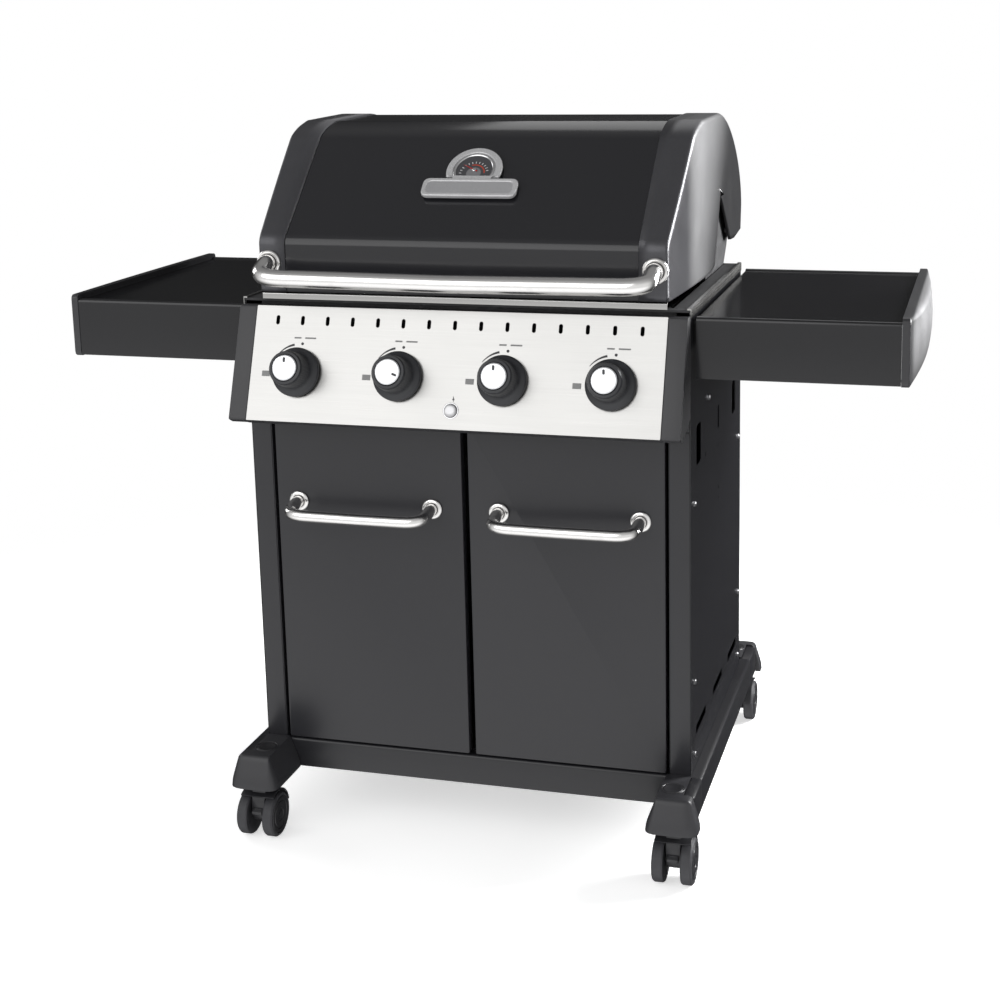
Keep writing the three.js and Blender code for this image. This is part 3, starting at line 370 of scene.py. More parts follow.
def pierced(name, outlines, thickness, frame_matrix, look, body="cart", replaces=(), edge=0.3):
    """A plate with openings: outlines filled as a flat curve, given thickness and a small edge, and placed."""
    curve = bpy.data.curves.new(name, "CURVE")
    curve.dimensions = "2D"
    curve.fill_mode = "BOTH"
    curve.extrude = (thickness / 2 - edge) * MM
    curve.bevel_depth = edge * MM
    curve.bevel_resolution = 1
    curve.offset = -edge * MM
    for line in outlines:
        spline = curve.splines.new("POLY")
        spline.points.add(len(line) - 1)
        flat = np.zeros((len(line), 4))
        flat[:, :2] = np.asarray(line) * MM
        flat[:, 3] = 1
        spline.points.foreach_set("co", flat.ravel())
        spline.use_cyclic_u = True
    carrier = bpy.data.objects.new(name + "_outline", curve)
    bpy.context.scene.collection.objects.link(carrier)
    bpy.context.view_layer.update()
    mesh = bpy.data.meshes.new_from_object(carrier.evaluated_get(bpy.context.evaluated_depsgraph_get()))
    bpy.data.objects.remove(carrier)
    bpy.data.curves.remove(curve)
    mesh.name = name
    mesh.transform(frame_matrix @ Matrix.Translation((0, 0, thickness / 2 * MM)))
    obj = bpy.data.objects.new(name, mesh)
    bpy.context.scene.collection.objects.link(obj)
    finish_mesh(obj, look, 12.0)
    return keep(obj, body, replaces)


def bar_handle(bar_name, seats_name, bar, feet, boss, seats, sides, body, replaces):
    """A bent tube, a boss turned about each foot, and dark seats under it."""
    facing = (0, -1, 0)
    shells, under = [bar], []
    for foot in feet:
        shells.append(turned(boss, foot, facing, sides[0]))
        under += [turned(seat, foot, facing, sides[1]) for seat in seats]
    piece(bar_name, shells, "chrome", body, replaces, 40)
    piece(seats_name, under, "plug", body)


# ------------------------------------------------------------------ finishes
OBJECT_PLACE, WORLD_WAY, POINTINESS, CAMERA_RAY = 3, 0, 7, 0
MIX_SHARE, MIX_FIRST, MIX_SECOND, MIX_COLOUR = 0, 6, 7, 2


class Socket:
    """A node's output on which arithmetic adds Math nodes."""

    def __init__(self, nodes, output):
        self.nodes, self.output = nodes, output

    def math(self, operation, *others):
        return self.nodes.node("ShaderNodeMath", {"operation": operation}, dict(enumerate([self, *others])))

    def __add__(self, other):
        return self.math("ADD", other)

    def __sub__(self, other):
        return self.math("SUBTRACT", other)

    def __rsub__(self, other):
        return self.nodes.node("ShaderNodeMath", {"operation": "SUBTRACT"}, {0: other, 1: self})

    def __mul__(self, other):
        return self.math("MULTIPLY", other)

    def __truediv__(self, other):
        return self.math("DIVIDE", other)

    def __pow__(self, other):
        return self.math("POWER", other)

    __radd__, __rmul__ = __add__, __mul__

    def above(self, edge, soft):
        """0 below edge, 1 above edge + soft, and smooth between."""
        return self.nodes.node("ShaderNodeMapRange", {"interpolation_type": "SMOOTHSTEP"},
                               {"Value": self, "From Min": edge, "From Max": edge + soft})


class Nodes:
    """The nodes of a material or a world, made through one method."""

    def __init__(self, tree):
        self.tree = tree

    def plug(self, value, socket):
        if isinstance(value, Socket):
            self.tree.links.new(value.output, socket)
        elif socket.type == "RGBA":
            socket.default_value = (*value, 1.0)
        else:
            socket.default_value = value

    def node(self, kind, settings=None, inputs=None, output=0):
        made = self.tree.nodes.new(kind)
        for key, value in (settings or {}).items():
            setattr(made, key, value)
        for key, value in (inputs or {}).items():
            self.plug(value, made.inputs[key])
        return Socket(self, made.outputs[output])

    def place(self, scale=(1, 1, 1)):
        """Object coordinates in metres, stretched."""
        at = self.node("ShaderNodeTexCoord", output=OBJECT_PLACE)
        return self.node("ShaderNodeMapping", {}, {"Vector": at, "Scale": scale})

    def noise(self, at, scale, detail=3.0, roughness=0.5):
        inputs = {"Vector": at, "Scale": scale, "Detail": detail, "Roughness": roughness}
        return self.node("ShaderNodeTexNoise", {}, inputs)

    def mix(self, share, first, second):
        inputs = {MIX_SHARE: share, MIX_FIRST: first, MIX_SECOND: second}
        return self.node("ShaderNodeMix", {"data_type": "RGBA"}, inputs, MIX_COLOUR)

    def split(self, at, axis):
        return self.node("ShaderNodeSeparateXYZ", {}, {0: at}, axis)

    def bump(self, height, distance, strength=0.5):
        return self.node("ShaderNodeBump", {}, {"Height": height, "Distance": distance, "Strength": strength})

    def wear(self):
        """Bright towards the convex edges and dark in the hollows, from the surface's pointiness."""
        return self.node("ShaderNodeNewGeometry", output=POINTINESS)


class Paint(Nodes):
    """One material and its shader."""

    def __init__(self, name, **fixed):
        self.material = bpy.data.materials.new(name)
        self.material.use_nodes = True
        super().__init__(self.material.node_tree)
        self.shader = self.tree.nodes["Principled BSDF"]
        self.drive(**fixed)

    def drive(self, **channels):
        for key, value in channels.items():
            self.plug(value, self.shader.inputs[key.replace("_", " ").title().replace("Ior", "IOR")])
        return self.material


def toned(colour, gain=1.0, lift=0.0, top=1.0):
    """A colour whose parts are multiplied by gain, raised by lift and held to top."""
    return tuple(min(top, c * gain + lift) for c in colour)


def enamel(name, colour, roughness=0.22, peel=0.00003):
    """Baked enamel: a faint orange peel, slow waves in gloss, and a trace of dust in the gloss."""
    p = Paint(name)
    at = p.place()
    waves, dust, fine = p.noise(at, 5.0, 2.0), p.noise(at, 70.0, 5.0, 0.65), p.noise(at, 520.0, 1.0)
    dusty = dust.above(0.5, 0.4) * waves * 0.35
    return p.drive(
        base_color=p.mix(dusty, colour, toned(colour, 1.45, 0.001)),
        roughness=waves * 0.08 + dusty * 0.14 + (roughness - 0.05),
        normal=p.bump(fine, peel, 0.35))


def casting(name, colour, roughness=0.42, metal=0.6, painted_light=None):
    """Satin paint over a sand casting: a fine grain with lighter high spots, and painted light where the last argument
    says so: a silver painted highlight laid over a darker painted shade.
    """
    p = Paint(name)
    at = p.place()
    grain, broad = p.noise(at, 900.0, 3.0, 0.7), p.noise(at, 14.0, 3.0)
    spots = grain.above(0.5, 0.22)
    paint = p.mix(spots * 0.6 + broad * 0.25, colour, toned(colour, 1.7, 0.01, 0.8))
    if painted_light is not None:
        # painted light on the outer face: one mask for painted shade, and a share of it for a painted highlight
        painted_shade_side, share = painted_light(p, at)
        # painted highlight in silver where share is one; painted shade, a quarter of the paint's colour, on the rest of
        # the outer face
        silver = p.mix(spots, (0.46, 0.46, 0.47), (0.60, 0.60, 0.61))
        paint = p.mix(share, p.mix(painted_shade_side, paint, toned(colour, 0.25)), silver)
        # metallic follows the painted light: 0.85 under the painted highlight, none under the painted shade
        metal = share * 0.85 + (1 - painted_shade_side) * metal
    return p.drive(
        base_color=paint,
        metallic=spots * 0.1 + metal,
        roughness=broad * 0.12 + spots * 0.1 + (roughness - 0.1),
        normal=p.bump(grain, 0.0001, 0.5))


def flank_painted_highlight(p, at):
    """Painted light on the lid castings' flanks: a painted highlight in silver, full at the front edge and gone two
    thirds of the way back, over painted shade on the rest of the flank.
    """
    flank_x, lean, front_y, fade = 0.3465, 0.66, -0.272, 0.40
    painted_shade_side = p.split(at, 0).math("ABSOLUTE").above(flank_x, 0.004)
    behind = p.split(at, 1) - (p.split(at, 2) - LID_RIM * MM) * lean - front_y
    return painted_shade_side, painted_shade_side * (1 - behind.above(-0.02, fade))


def cap_painted_highlight(p, at):
    """Painted light on the shelves' end caps: a painted highlight in silver from the crown's front to its middle,
    fading out downwards, over painted shade on the rest of the crown.
    """
    crown_x, crown_z, fade = 0.7035, 0.87, 0.075
    painted_shade_side = p.split(at, 0).math("ABSOLUTE").above(crown_x, 0.006)
    return painted_shade_side, painted_shade_side * (1 - (crown_z - p.split(at, 2)).above(0.0, fade))


def brushed(name, colour, along="x", roughness=0.3):
    """Brushed steel: hair lines drawn out along one axis, with a slow cloudiness across them."""
    p = Paint(name, metallic=1.0, anisotropic=0.35)
    stretch = {"x": (1.2, 260, 260), "y": (260, 1.2, 260)}[along]
    hair = p.noise(p.place(stretch), 5.0, 4.0, 0.7)
    cloud = p.noise(p.place(), 6.0, 3.0)
    return p.drive(
        base_color=p.mix(hair * 0.7 + cloud * 0.2, colour, toned(colour, 0.8)),
        roughness=hair * 0.14 + cloud * 0.06 + (roughness - 0.1),
        normal=p.bump(hair, 0.00002, 0.35))


def chrome(name, colour, roughness=0.1):
    """Polished tube: fine polishing lines round it, and finger marks that dull it a little."""
    p = Paint(name, metallic=1.0)
    lines = p.noise(p.place((900, 40, 40)), 3.0, 2.0)
    marks = p.noise(p.place(), 24.0, 4.0, 0.6).above(0.52, 0.2)
    return p.drive(
        base_color=p.mix(marks * 0.5 + lines * 0.2, colour, toned(colour, 0.86)),
        roughness=marks * 0.09 + lines * 0.05 + (roughness - 0.04),
        normal=p.bump(lines, 0.000006, 0.3))


def moulded(name, colour, roughness=0.5, grain=700.0):
    """Moulded plastic: a leather-fine grain, with pale scuffs on the edges that meet the world."""
    p = Paint(name)
    at = p.place()
    fine = p.node("ShaderNodeTexVoronoi", {"feature": "F1"}, {"Vector": at, "Scale": grain})
    rub, tone = p.noise(at, 60.0, 5.0, 0.65), p.noise(at, 9.0, 2.0)
    scuffs = p.wear().above(0.52, 0.08) * rub.above(0.45, 0.2) * 0.25
    return p.drive(
        base_color=p.mix(scuffs + tone * 0.18, colour, toned(colour, 2.0, 0.012)),
        roughness=tone * 0.1 + scuffs * 0.2 + (roughness - 0.05),
        normal=p.bump(fine, 0.00008, 0.4))


def iron(name, colour, roughness=0.62):
    """Coated iron: coarse pits and a speckled, seasoned sheen."""
    p = Paint(name)
    at = p.place()
    pits, speck = p.noise(at, 420.0, 6.0, 0.7), p.noise(at, 60.0, 4.0)
    return p.drive(
        base_color=p.mix(speck.above(0.45, 0.25) * 0.7, colour, toned(colour, 1.9, 0.008)),
        roughness=speck * 0.25 + pits * 0.12 + (roughness - 0.2),
        normal=p.bump(pits, 0.0003, 0.6))


def milled(name, colour, roughness=0.4):
    """Plain mill or machined metal: short rolling marks, a mottled oxide and dull patches."""
    p = Paint(name)
    rolled = p.noise(p.place((40, 3, 40)), 8.0, 3.0)
    oxide = p.noise(p.place(), 38.0, 5.0, 0.6)
    return p.drive(
        base_color=p.mix(oxide.above(0.42, 0.3) * 0.6 + rolled * 0.2, colour, toned(colour, 0.62)),
        metallic=1.0 - oxide.above(0.5, 0.3) * 0.15,
        roughness=oxide * 0.25 + rolled * 0.1 + (roughness - 0.15),
        normal=p.bump(rolled, 0.00006, 0.4))


def ringed(name, colour, centres, roughness=0.28, pitch=0.0008):
    """Spun metal face: rings of light and dark round the nearest of several centres on the leaning fascia."""
    p = Paint(name, metallic=0.9)
    at = p.place()
    x, z = p.split(at, 0), p.split(at, 2)
    nearest = None
    for cx, cz in centres:
        dx, dz = x - cx * MM, (z - cz * MM) / LEAN[1]
        distance = (dx * dx + dz * dz) ** 0.5
        nearest = distance if nearest is None else nearest.math("MINIMUM", distance)
    rings = (nearest * (2 * math.pi / pitch)).math("SINE") * 0.5 + 0.5
    tone = p.noise(at, 120.0, 3.0)
    return p.drive(
        base_color=p.mix(rings * 0.4 + tone * 0.3, colour, toned(colour, 0.78)),
        roughness=rings * 0.06 + tone * 0.1 + (roughness - 0.06),
        normal=p.bump(rings, 0.00001, 0.3))


def dial_face():
    """Gauge face from the angle and radius about its middle: pale ticks, a dark face, a warm zone."""
    p = Paint("gauge_dial", roughness=0.35)
    middle = slope_point(0, DIAL_S, 0) * MM
    at = p.place()
    x = p.split(at, 0)
    rise = (p.split(at, 2) - float(middle[2])) / float(SLOPE[1])
    radius = (x * x + rise * rise) ** 0.5
    angle = rise.math("ARCTAN2", x)

    def ring(inner, outer):
        return radius.above(inner, 0.0004) * (1 - radius.above(outer, 0.0004))

    ticks = (angle * 24.0).math("COSINE").above(0.8, 0.12)
    upper = angle.math("ABSOLUTE").above(0.05, 0.05) * rise.above(-0.008, 0.0005)
    hub = 1 - radius.above(0.012, 0.0005)
    zone = ring(0.0165, 0.0185) * x.above(-0.006, 0.0005) * rise.above(0.0, 0.0005)
    face = p.mix(p.noise(at, 400.0, 3.0), (0.045, 0.045, 0.05), (0.065, 0.065, 0.07))
    face = p.mix(ticks * ring(0.0205, 0.0245) * upper, face, (0.75, 0.75, 0.75))
    face = p.mix(zone, face, (0.45, 0.05, 0.02))
    return p.drive(base_color=p.mix(hub * 0.5, face, (0.3, 0.3, 0.31)))


FINISHES = {}


def finishes():
    """All finishes, made once from the colours in the panel."""
    if FINISHES:
        return FINISHES
    c = bpy.context.scene.grill_colours
    FINISHES.update({
        "door": enamel("door_enamel", c.enamel, 0.33),
        "lid": enamel("lid_enamel", toned(c.enamel, 0.8), 0.16),
        "panel": enamel("panel_enamel", toned(c.enamel, 0.7), 0.2),
        "deck": enamel("deck_enamel", toned(c.enamel, 0.5), 0.16),
        "rail": enamel("rail_enamel", toned(c.enamel, 0.8), 0.34, 0.00005),
        # lid castings: a painted highlight in silver on the flanks' front, painted shade on the rest of the flanks
        "casting": casting("lid_casting", c.casting, 0.38, 0.5, flank_painted_highlight),
        # shelf end caps: a painted highlight in silver on the upper crown, painted shade below it
        "cap": casting("cap_satin", toned(c.casting, 0.4), 0.34, 0.0, cap_painted_highlight),
        "housing": casting("housing_satin", toned(c.casting, 0.4), 0.48, 0.0),
        "steel": brushed("fascia_steel", c.steel),
        "trim": brushed("trim_steel", c.steel, roughness=0.22),
        "side_trim": brushed("side_trim_steel", c.steel, "y", 0.26),
        "tamer": milled("heat_tamer_steel", (0.42, 0.40, 0.38), 0.42),
        "chrome": chrome("handle_chrome", c.chrome, 0.2),
        "plug": moulded("plug_rubber", (0.012, 0.012, 0.014), 0.45),
        "shoe": moulded("shoe_plastic", c.plastic, 0.42),
        "caster": moulded("caster_nylon", toned(c.plastic, 0.8), 0.38, 500.0),
        "tread": moulded("tread_rubber", (0.03, 0.03, 0.034), 0.6, 900.0),
        "knob": moulded("knob_plastic", (0.016, 0.017, 0.020), 0.34, 1100.0),
        "knob_cap": ringed("knob_cap_spun", (0.82, 0.83, 0.85), [(x, KNOB_Z) for x in KNOB_X]),
        "button": ringed("button_satin", (0.55, 0.55, 0.56), [BUTTON_AT], 0.3),
        "ink": enamel("printed_ink", (0.03, 0.03, 0.035), 0.5),
        "pale_ink": enamel("pale_ink", (0.22, 0.22, 0.22), 0.5),
        "iron": iron("grid_iron", (0.02, 0.02, 0.021)),
        "firebox": iron("firebox_coating", (0.028, 0.028, 0.03), 0.68),
        "brass": milled("valve_brass", (0.55, 0.40, 0.16), 0.32),
        "aluminium": milled("mill_aluminium", (0.5, 0.5, 0.51), 0.42),
        "wire": chrome("rack_wire", (0.6, 0.6, 0.6), 0.2),
        "bolt": milled("bolt_zinc", (0.3, 0.3, 0.31), 0.35),
        "dial": dial_face(),
        "needle": enamel("needle_red", (0.5, 0.02, 0.015), 0.4),
        "bezel": chrome("bezel_chrome", (0.72, 0.72, 0.73), 0.16),
        "plate": casting("badge_plate", (0.36, 0.36, 0.37), 0.34, 0.35),
        "silver": casting("satin_silver", (0.50, 0.50, 0.51), 0.28, 0.35),
    })
    return FINISHES


# ------------------------------------------------------------------ settings
def length(name, description, default):
    return bpy.props.FloatProperty(
        name=name, description=description, default=default * MM, min=0.0, unit="LENGTH")


def tint(name, description, default):
    return bpy.props.FloatVectorProperty(
        name=name, description=description, subtype="COLOR", size=3, min=0, max=1, default=default)


class GrillSizes(bpy.types.PropertyGroup):
    shoulder: length("Casting shoulder", "Rounding between the lid casting's rim and its flank", 8.0)
    handle: length("Lid handle radius", "Radius of the lid handle's tube", 14.0)
    door_handle: length("Door handle radius", "Radius of the door handles' tubes", 10.0)
    skirt: length("Knob skirt radius", "Radius of a knob's skirt", 40.0)
    grip: length("Knob grip radius", "Radius of a knob's grip", 27.0)
    wheel: length("Wheel radius", "Radius of the caster wheels", 37.5)
    wire: length("Rack wire", "Thickness of the warming rack's wires", 5.6)


class GrillColours(bpy.types.PropertyGroup):
    enamel: tint("Enamel", "Colour of the baked enamel", (0.0185, 0.0185, 0.0215))
    casting: tint("Casting", "Colour of the lid's end castings", (0.062, 0.062, 0.068))
    steel: tint("Steel", "Colour of the brushed fascia", (0.50, 0.496, 0.485))
    chrome: tint("Chrome", "Colour of the polished handles", (0.86, 0.85, 0.84))
    plastic: tint("Plastic", "Colour of the moulded feet and casters", (0.024, 0.024, 0.027))


class GrillStage(bpy.types.PropertyGroup):
    lens: bpy.props.FloatProperty(
        name="Lens", description="Camera focal length", default=59.744, min=10, unit="CAMERA")
    floor: tint("Floor", "Colour of the floor", (0.92, 0.92, 0.92))
    key: bpy.props.FloatProperty(
        name="Key light", description="Power of the large front light", default=62.0, min=0, subtype="POWER",
        unit="POWER")


GRILL_OPERATORS = []


def operator(cls):
    GRILL_OPERATORS.append(cls)
    return cls


# ------------------------------------------------------------------ stage
@operator
class GRILL_OT_stage(bpy.types.Operator):
    """Camera, soft lights, a pale floor and the room around it"""

    bl_idname = "grill.stage"
    bl_label = "Stage"

    def execute(self, context):
        scene, stage = context.scene, context.scene.grill_stage
        scene.view_settings.view_transform = "Standard"
        self.camera(scene, stage.lens)
        self.lights(scene, stage.key)
        self.floor(scene, stage)
        self.room(scene)
        return {"FINISHED"}

    def camera(self, scene, lens):
        """A camera given by the way it looks (yaw, pitch, roll) and where it stands."""
        yaw, pitch, roll = (math.radians(v) for v in (15.103, 11.27, -0.975))
        stand = np.array([0.830594, -2.732705, 1.358756])
        level = math.cos(pitch)
        ahead = np.array([-math.sin(yaw) * level, math.cos(yaw) * level, -math.sin(pitch)])
        across = np.array([math.cos(yaw), math.sin(yaw), 0.0])
        upright = np.cross(across, ahead)
        right = math.cos(roll) * across + math.sin(roll) * upright
        up = -math.sin(roll) * across + math.cos(roll) * upright
        camera = bpy.data.objects.new("camera", bpy.data.cameras.new("camera"))
        columns = np.column_stack([right, up, -ahead, stand])
        camera.matrix_world = Matrix([*columns.tolist(), [0, 0, 0, 1]])
        camera.data.lens = lens
        camera.data.sensor_width = 36
        camera.data.shift_x, camera.data.shift_y = -0.06, -0.15
        camera.data.clip_end = 60
        scene.collection.objects.link(camera)
        scene.camera = camera

    def lights(self, scene, key):
        """Large soft panels aimed at the grill's middle; the rear fill leaves no reflection."""
        target = Vector((0, 0, 0.6))
        for name, stand, size, share in (
                ("front_light", (-1.6, -3.6, 2.7), (4.4, 3.2), 1.0),
                ("right_light", (2.1, 1.0, 1.5), (0.7, 1.6), 1.9),
                ("back_light", (0.6, 3.4, 3.2), (4.0, 2.0), 0.3),
                ("rear_fill", (-1.5, 3.6, 0.9), (2.2, 1.6), 0.5),
                ("left_light", (-3.4, 0.4, 2.2), (1.2, 1.8), 0.35)):
            data = bpy.data.lights.new(name, "AREA")
            data.shape = "RECTANGLE"
            data.size, data.size_y = size
            data.energy = key * share
            light = bpy.data.objects.new(name, data)
            light.visible_camera = False
            light.visible_glossy = name != "rear_fill"
            light.location = stand
            light.rotation_euler = (target - Vector(stand)).to_track_quat("-Z", "Y").to_euler()
            scene.collection.objects.link(light)

    def floor(self, scene, stage):
        """A sheet under the wheels that fades out in a circle, over a white ground that only the camera sees."""
        p = Paint("floor_paper", roughness=0.9, emission_strength=0.55)
        at = p.place()
        x, y = p.split(at, 0), p.split(at, 1)
        reach = (x * x + y * y) ** 0.5
        p.drive(base_color=p.mix(p.noise(at, 3.0, 2.0) * 0.2, stage.floor, toned(stage.floor, 0.985)),
                emission_color=(1, 1, 1), alpha=1 - reach.above(0.75, 1.2))
        white = Paint("ground_white", emission_strength=1.0, roughness=1.0)
        white.shader.inputs["Specular IOR Level"].default_value = 0.0
        white.drive(base_color=(0, 0, 0), emission_color=(1, 1, 1))
        for name, half, level, paint in (("floor", 2.4, 0.0, p), ("ground", 30.0, -0.002, white)):
            mesh = bpy.data.meshes.new(name)
            corners = place(rectangle(-half, half, -half, half), "z", level)
            mesh.from_pydata(corners.tolist(), [], [(0, 1, 2, 3)])
            mesh.materials.append(paint.material)
            sheet = bpy.data.objects.new(name, mesh)
            scene.collection.objects.link(sheet)
            sheet.visible_glossy = False
        sheet.visible_diffuse = sheet.visible_shadow = False

    def room(self, scene):
        """White behind the grill; around it a bright front, a softer ceiling and a dim back."""
        world = bpy.data.worlds.new("room")
        world.use_nodes = True
        tree = world.node_tree
        tree.nodes.clear()
        p = Nodes(tree)
        at = p.node("ShaderNodeTexCoord", output=WORLD_WAY)
        y, z = p.split(at, 1), p.split(at, 2)
        front = (0 - y).above(-0.25, 0.95)
        ceiling = z.above(0.25, 0.6)
        below = (0 - z).above(0.08, 0.4)
        level = front * (1.0 - ceiling * 0.7) * (below * 0.4 + 0.8) + ceiling * 0.2 + 0.03
        light = p.node("ShaderNodeBackground", {}, {"Color": (1, 1, 1), "Strength": level})
        white = p.node("ShaderNodeBackground", {}, {"Color": (1, 1, 1), "Strength": 1.0})
        seen = p.node("ShaderNodeLightPath", output=CAMERA_RAY)
        both = p.node("ShaderNodeMixShader", {}, {0: seen, 1: light, 2: white})
        output = tree.nodes.new("ShaderNodeOutputWorld")
        tree.links.new(both.output, output.inputs[0])
        scene.world = world


# ------------------------------------------------------------------ base and casters
@operator
class GRILL_OT_rails(bpy.types.Operator):
    """Side and cross rails of folded sheet, open underneath"""

    bl_idname = "grill.rails"
    bl_label = "Base rails"

    def execute(self, context):
        reach = -CART_FRONT
        for name, side in SIDES:
            node = f"base_side_rail_{name}"
            low, high = node_box(node)
            inner, outer = sorted((abs(low[0]), abs(high[0])))
            line = self.channel(inner, outer, low[2], high[2])
            section = rounded(line, [0.4, 4, 6, 1.2, 0.4, 2, 2, 0.4], 6) * [side, 1]
            shells = [prism(section, "y", -reach, reach, 0.8)]
            tip = rounded(rectangle(outer - 17.5, outer, low[2], high[2]), [1, 1.2, 6, 2], 6) * [side, 1]
            shells += [prism(tip, "y", *mirrored(end, reach - 1, high[1] - 0.3), 0.8) for _, end in ENDS]
            piece(f"side_rail_{name}", shells, "rail", replaces=[node])
        for name, end in ENDS:
            node = f"base_{name}_rail"
            low, high = node_box(node)
            line = self.channel(*(low[1], high[1])[::-end], low[2], high[2])
            section = rounded(line, [1.2, 6, 4, 0.4, 0.4, 2, 2, 0.4], 6)
            piece(f"cross_rail_{name}", [prism(section, "x", low[0], high[0], 0.6)], "rail", replaces=[node])
        return {"FINISHED"}

    def channel(self, a, b, bottom, top):
        """A folded section, open underneath: up at a, over to b, down, and back inside it by the wall."""
        wall, under = RAIL_WALL * np.sign(b - a), top - RAIL_WALL
        return [(a, bottom), (a, top), (b, top), (b, bottom),
                (b - wall, bottom), (b - wall, under), (a + wall, under), (a + wall, bottom)]


@operator
class GRILL_OT_shoes(bpy.types.Operator):
    """Moulded foot shoes with a round plug over each caster stem"""

    bl_idname = "grill.shoes"
    bl_label = "Foot shoes"

    def execute(self, context):
        for end_name, end in ENDS:
            for name, side in SIDES:
                self.shoe(f"{end_name}_{name}", end, side)
        return {"FINISHED"}

    def shoe(self, key, end, side):
        """Outline rings stacked up: each leans in with height, the top ones on a quarter circle."""
        inner, panel, outer = 314, 371.7, 400
        tip, step, back = -368, -330.3, CART_FRONT - 0.3
        corners = [(inner, back), (panel, back), (panel, step), (outer, step), (outer, tip), (inner, tip)]
        ring = rounded(corners, [1.5, 1, 1, 3, 26, 20], 10)
        rows = []
        for h in [*np.linspace(0, 1, 7)[:-1], 0.90, 0.94, 0.97, 0.99, 1.0]:
            lean = np.interp(h, [0, 0.22, 0.35, 1], [0, 1.2, 3.0, 13])
            draw = 5.5 * (1 - math.sqrt(max(0.0, 1 - max(0.0, (h - 0.88) / 0.12) ** 2)))
            x = np.interp(ring[:, 0], [inner, 332, panel, 380, outer],
                          [inner + lean * 1.35, 332, panel, 379, outer - lean - draw])
            y = np.interp(ring[:, 1], [tip, -345, step, back], [tip + lean * 1.2 + draw, -343, step, back])
            level = SHOE_FOOT + (SHOE_TOP - SHOE_FOOT) * h
            rows.append(place(np.column_stack([x * side, y * -end]), "z", level))
        shells = [shell(np.stack(rows), close_v=True, caps=True)]
        piece(f"shoe_{key}", shells, "shoe", replaces=[f"foot_shoe_{key}"], angle=50)
        at, up = (side * PLUG_X, end * STEM_Y, SHOE_TOP), (0, 0, 1)
        rim = [(17.0, -3), (17.0, 0.5), (17.6, 1.1), (18.8, 1.1), (19.4, 0.5), (19.4, -3)]
        plug = [(0, -2), (16.6, -2), (16.6, 0.2), (15.8, 0.9), (12.5, 1.0), (11.5, 0.5), (0, 0.5)]
        piece(f"plug_rim_{key}", [turned(rim, at, up)], "caster")
        piece(f"plug_{key}", [turned(plug, at, up)], "plug")


@operator
class GRILL_OT_casters(bpy.types.Operator):
    """Twin-wheel casters: fork block, grooved wheels, hub caps and the front brake levers"""

    bl_idname = "grill.casters"
    bl_label = "Casters"

    def execute(self, context):
        radius = context.scene.grill_sizes.wheel / MM
        for end_name, end in ENDS:
            for name, side in SIDES:
                middle, key = side * CASTER_X, f"{end_name}_{name}"
                self.fork(key, end, middle)
                self.wheels(key, end, middle, radius)
                if end_name == "front":
                    self.lever(name, end, middle)
        return {"FINISHED"}

    def fork(self, key, end, middle):
        """A rounded side view carried between the wheels, and a hood that bends over them."""
        line = [(-20, 93), (-21, 70), (-8, 28), (6, 24), (26, 26), (33, 42), (34, 64), (24, 93)]
        view = (rounded(line, [4, 8, 8, 6, 8, 8, 8, 4], 5) + [STEM_Y, 0]) * [end, 1]
        over, under = (arc((AXLE_Y, 37.5), radius, 62, 168, 22) for radius in (44, 41))
        hood = np.vstack([over, under[::-1]]) * [end, 1]
        foot, up = (middle, end * STEM_Y, 0), (0, 0, 1)
        collar = [(0, 84), (15, 84), (15, 92), (12, 96.6), (0, 96.6)]
        shells = [prism(view, "x", middle - 12.2, middle + 12.2, 1.6),
                  prism(hood, "x", middle - 30, middle + 30, 1.0), turned(collar, foot, up, 32)]
        piece(f"caster_body_{key}", shells, "caster", f"caster_{key}", [f"caster_fork_{key}"], 40)
        stem = [(0, 86), (5.5, 86), (5.5, 135), (4.6, 136), (0, 136)]
        piece(f"caster_stem_{key}", [turned(stem, foot, up, 20)], "bolt", f"caster_{key}")

    def wheels(self, key, end, middle, radius):
        """Each wheel is a turned profile with a tread, two grooves in its face and a dished hub."""
        tyre = [(26, 15), (radius - 1.5, 14.2), (radius, 16.5), (radius, 29.5), (radius - 2.2, 32.2), (31.5, 32.8),
                (30.8, 31.2), (26, 31.2)]
        disc = [(4.3, 14.5), (26.4, 14.5), (30.6, 17), (30.6, 31.6), (29.5, 32.9), (25, 33), (24.2, 31.8), (22.6, 31.8),
                (21.8, 33), (11, 33), (10, 32), (7, 31.8), (4.3, 31.8)]
        cap = [(0, 30), (6.6, 30), (6.6, 32.6), (5.4, 33), (0, 33)]
        centre = (middle, end * AXLE_Y, radius)
        body, ways = f"wheels_{key}", ((-1, 0, 0), (1, 0, 0))
        treads = [turned(tyre, centre, way, 56) for way in ways]
        hubs = [turned(line, centre, way, sides) for way in ways for line, sides in ((disc, 56), (cap, 24))]
        axle = [turned([(0, -31), (4, -31), (4, 31), (0, 31)], centre, (1, 0, 0), 18)]
        piece(f"wheel_treads_{key}", treads, "tread", body, [f"caster_wheels_{key}"])
        piece(f"wheel_hubs_{key}", hubs, "caster", body)
        piece(f"axle_{key}", axle, "bolt", body)

    def lever(self, name, end, middle):
        """A tapered tongue between the wheels, with two raised ribs for the toe."""
        line = rounded([(22.3, 46), (41, 43.2), (42, 48), (30, 57), (22.3, 59.5)], [1, 2, 2, 6, 1], 5)
        shells = [prism((line + [STEM_Y, 0]) * [end, 1], "x", middle - 9.6, middle + 9.6, 1.2)]
        for at in (0.35, 0.75):
            y, z = STEM_Y + 24 + 15 * at, 58.4 - 8.5 * at
            shells.append(block(middle - 7, middle + 7, *mirrored(end, y - 1.1, y + 1.1), z - 1.5, z + 1.0, 0.7))
        piece(f"brake_tongue_{name}", shells, "caster", f"brake_{name}", [f"caster_brake_lever_{name}"])


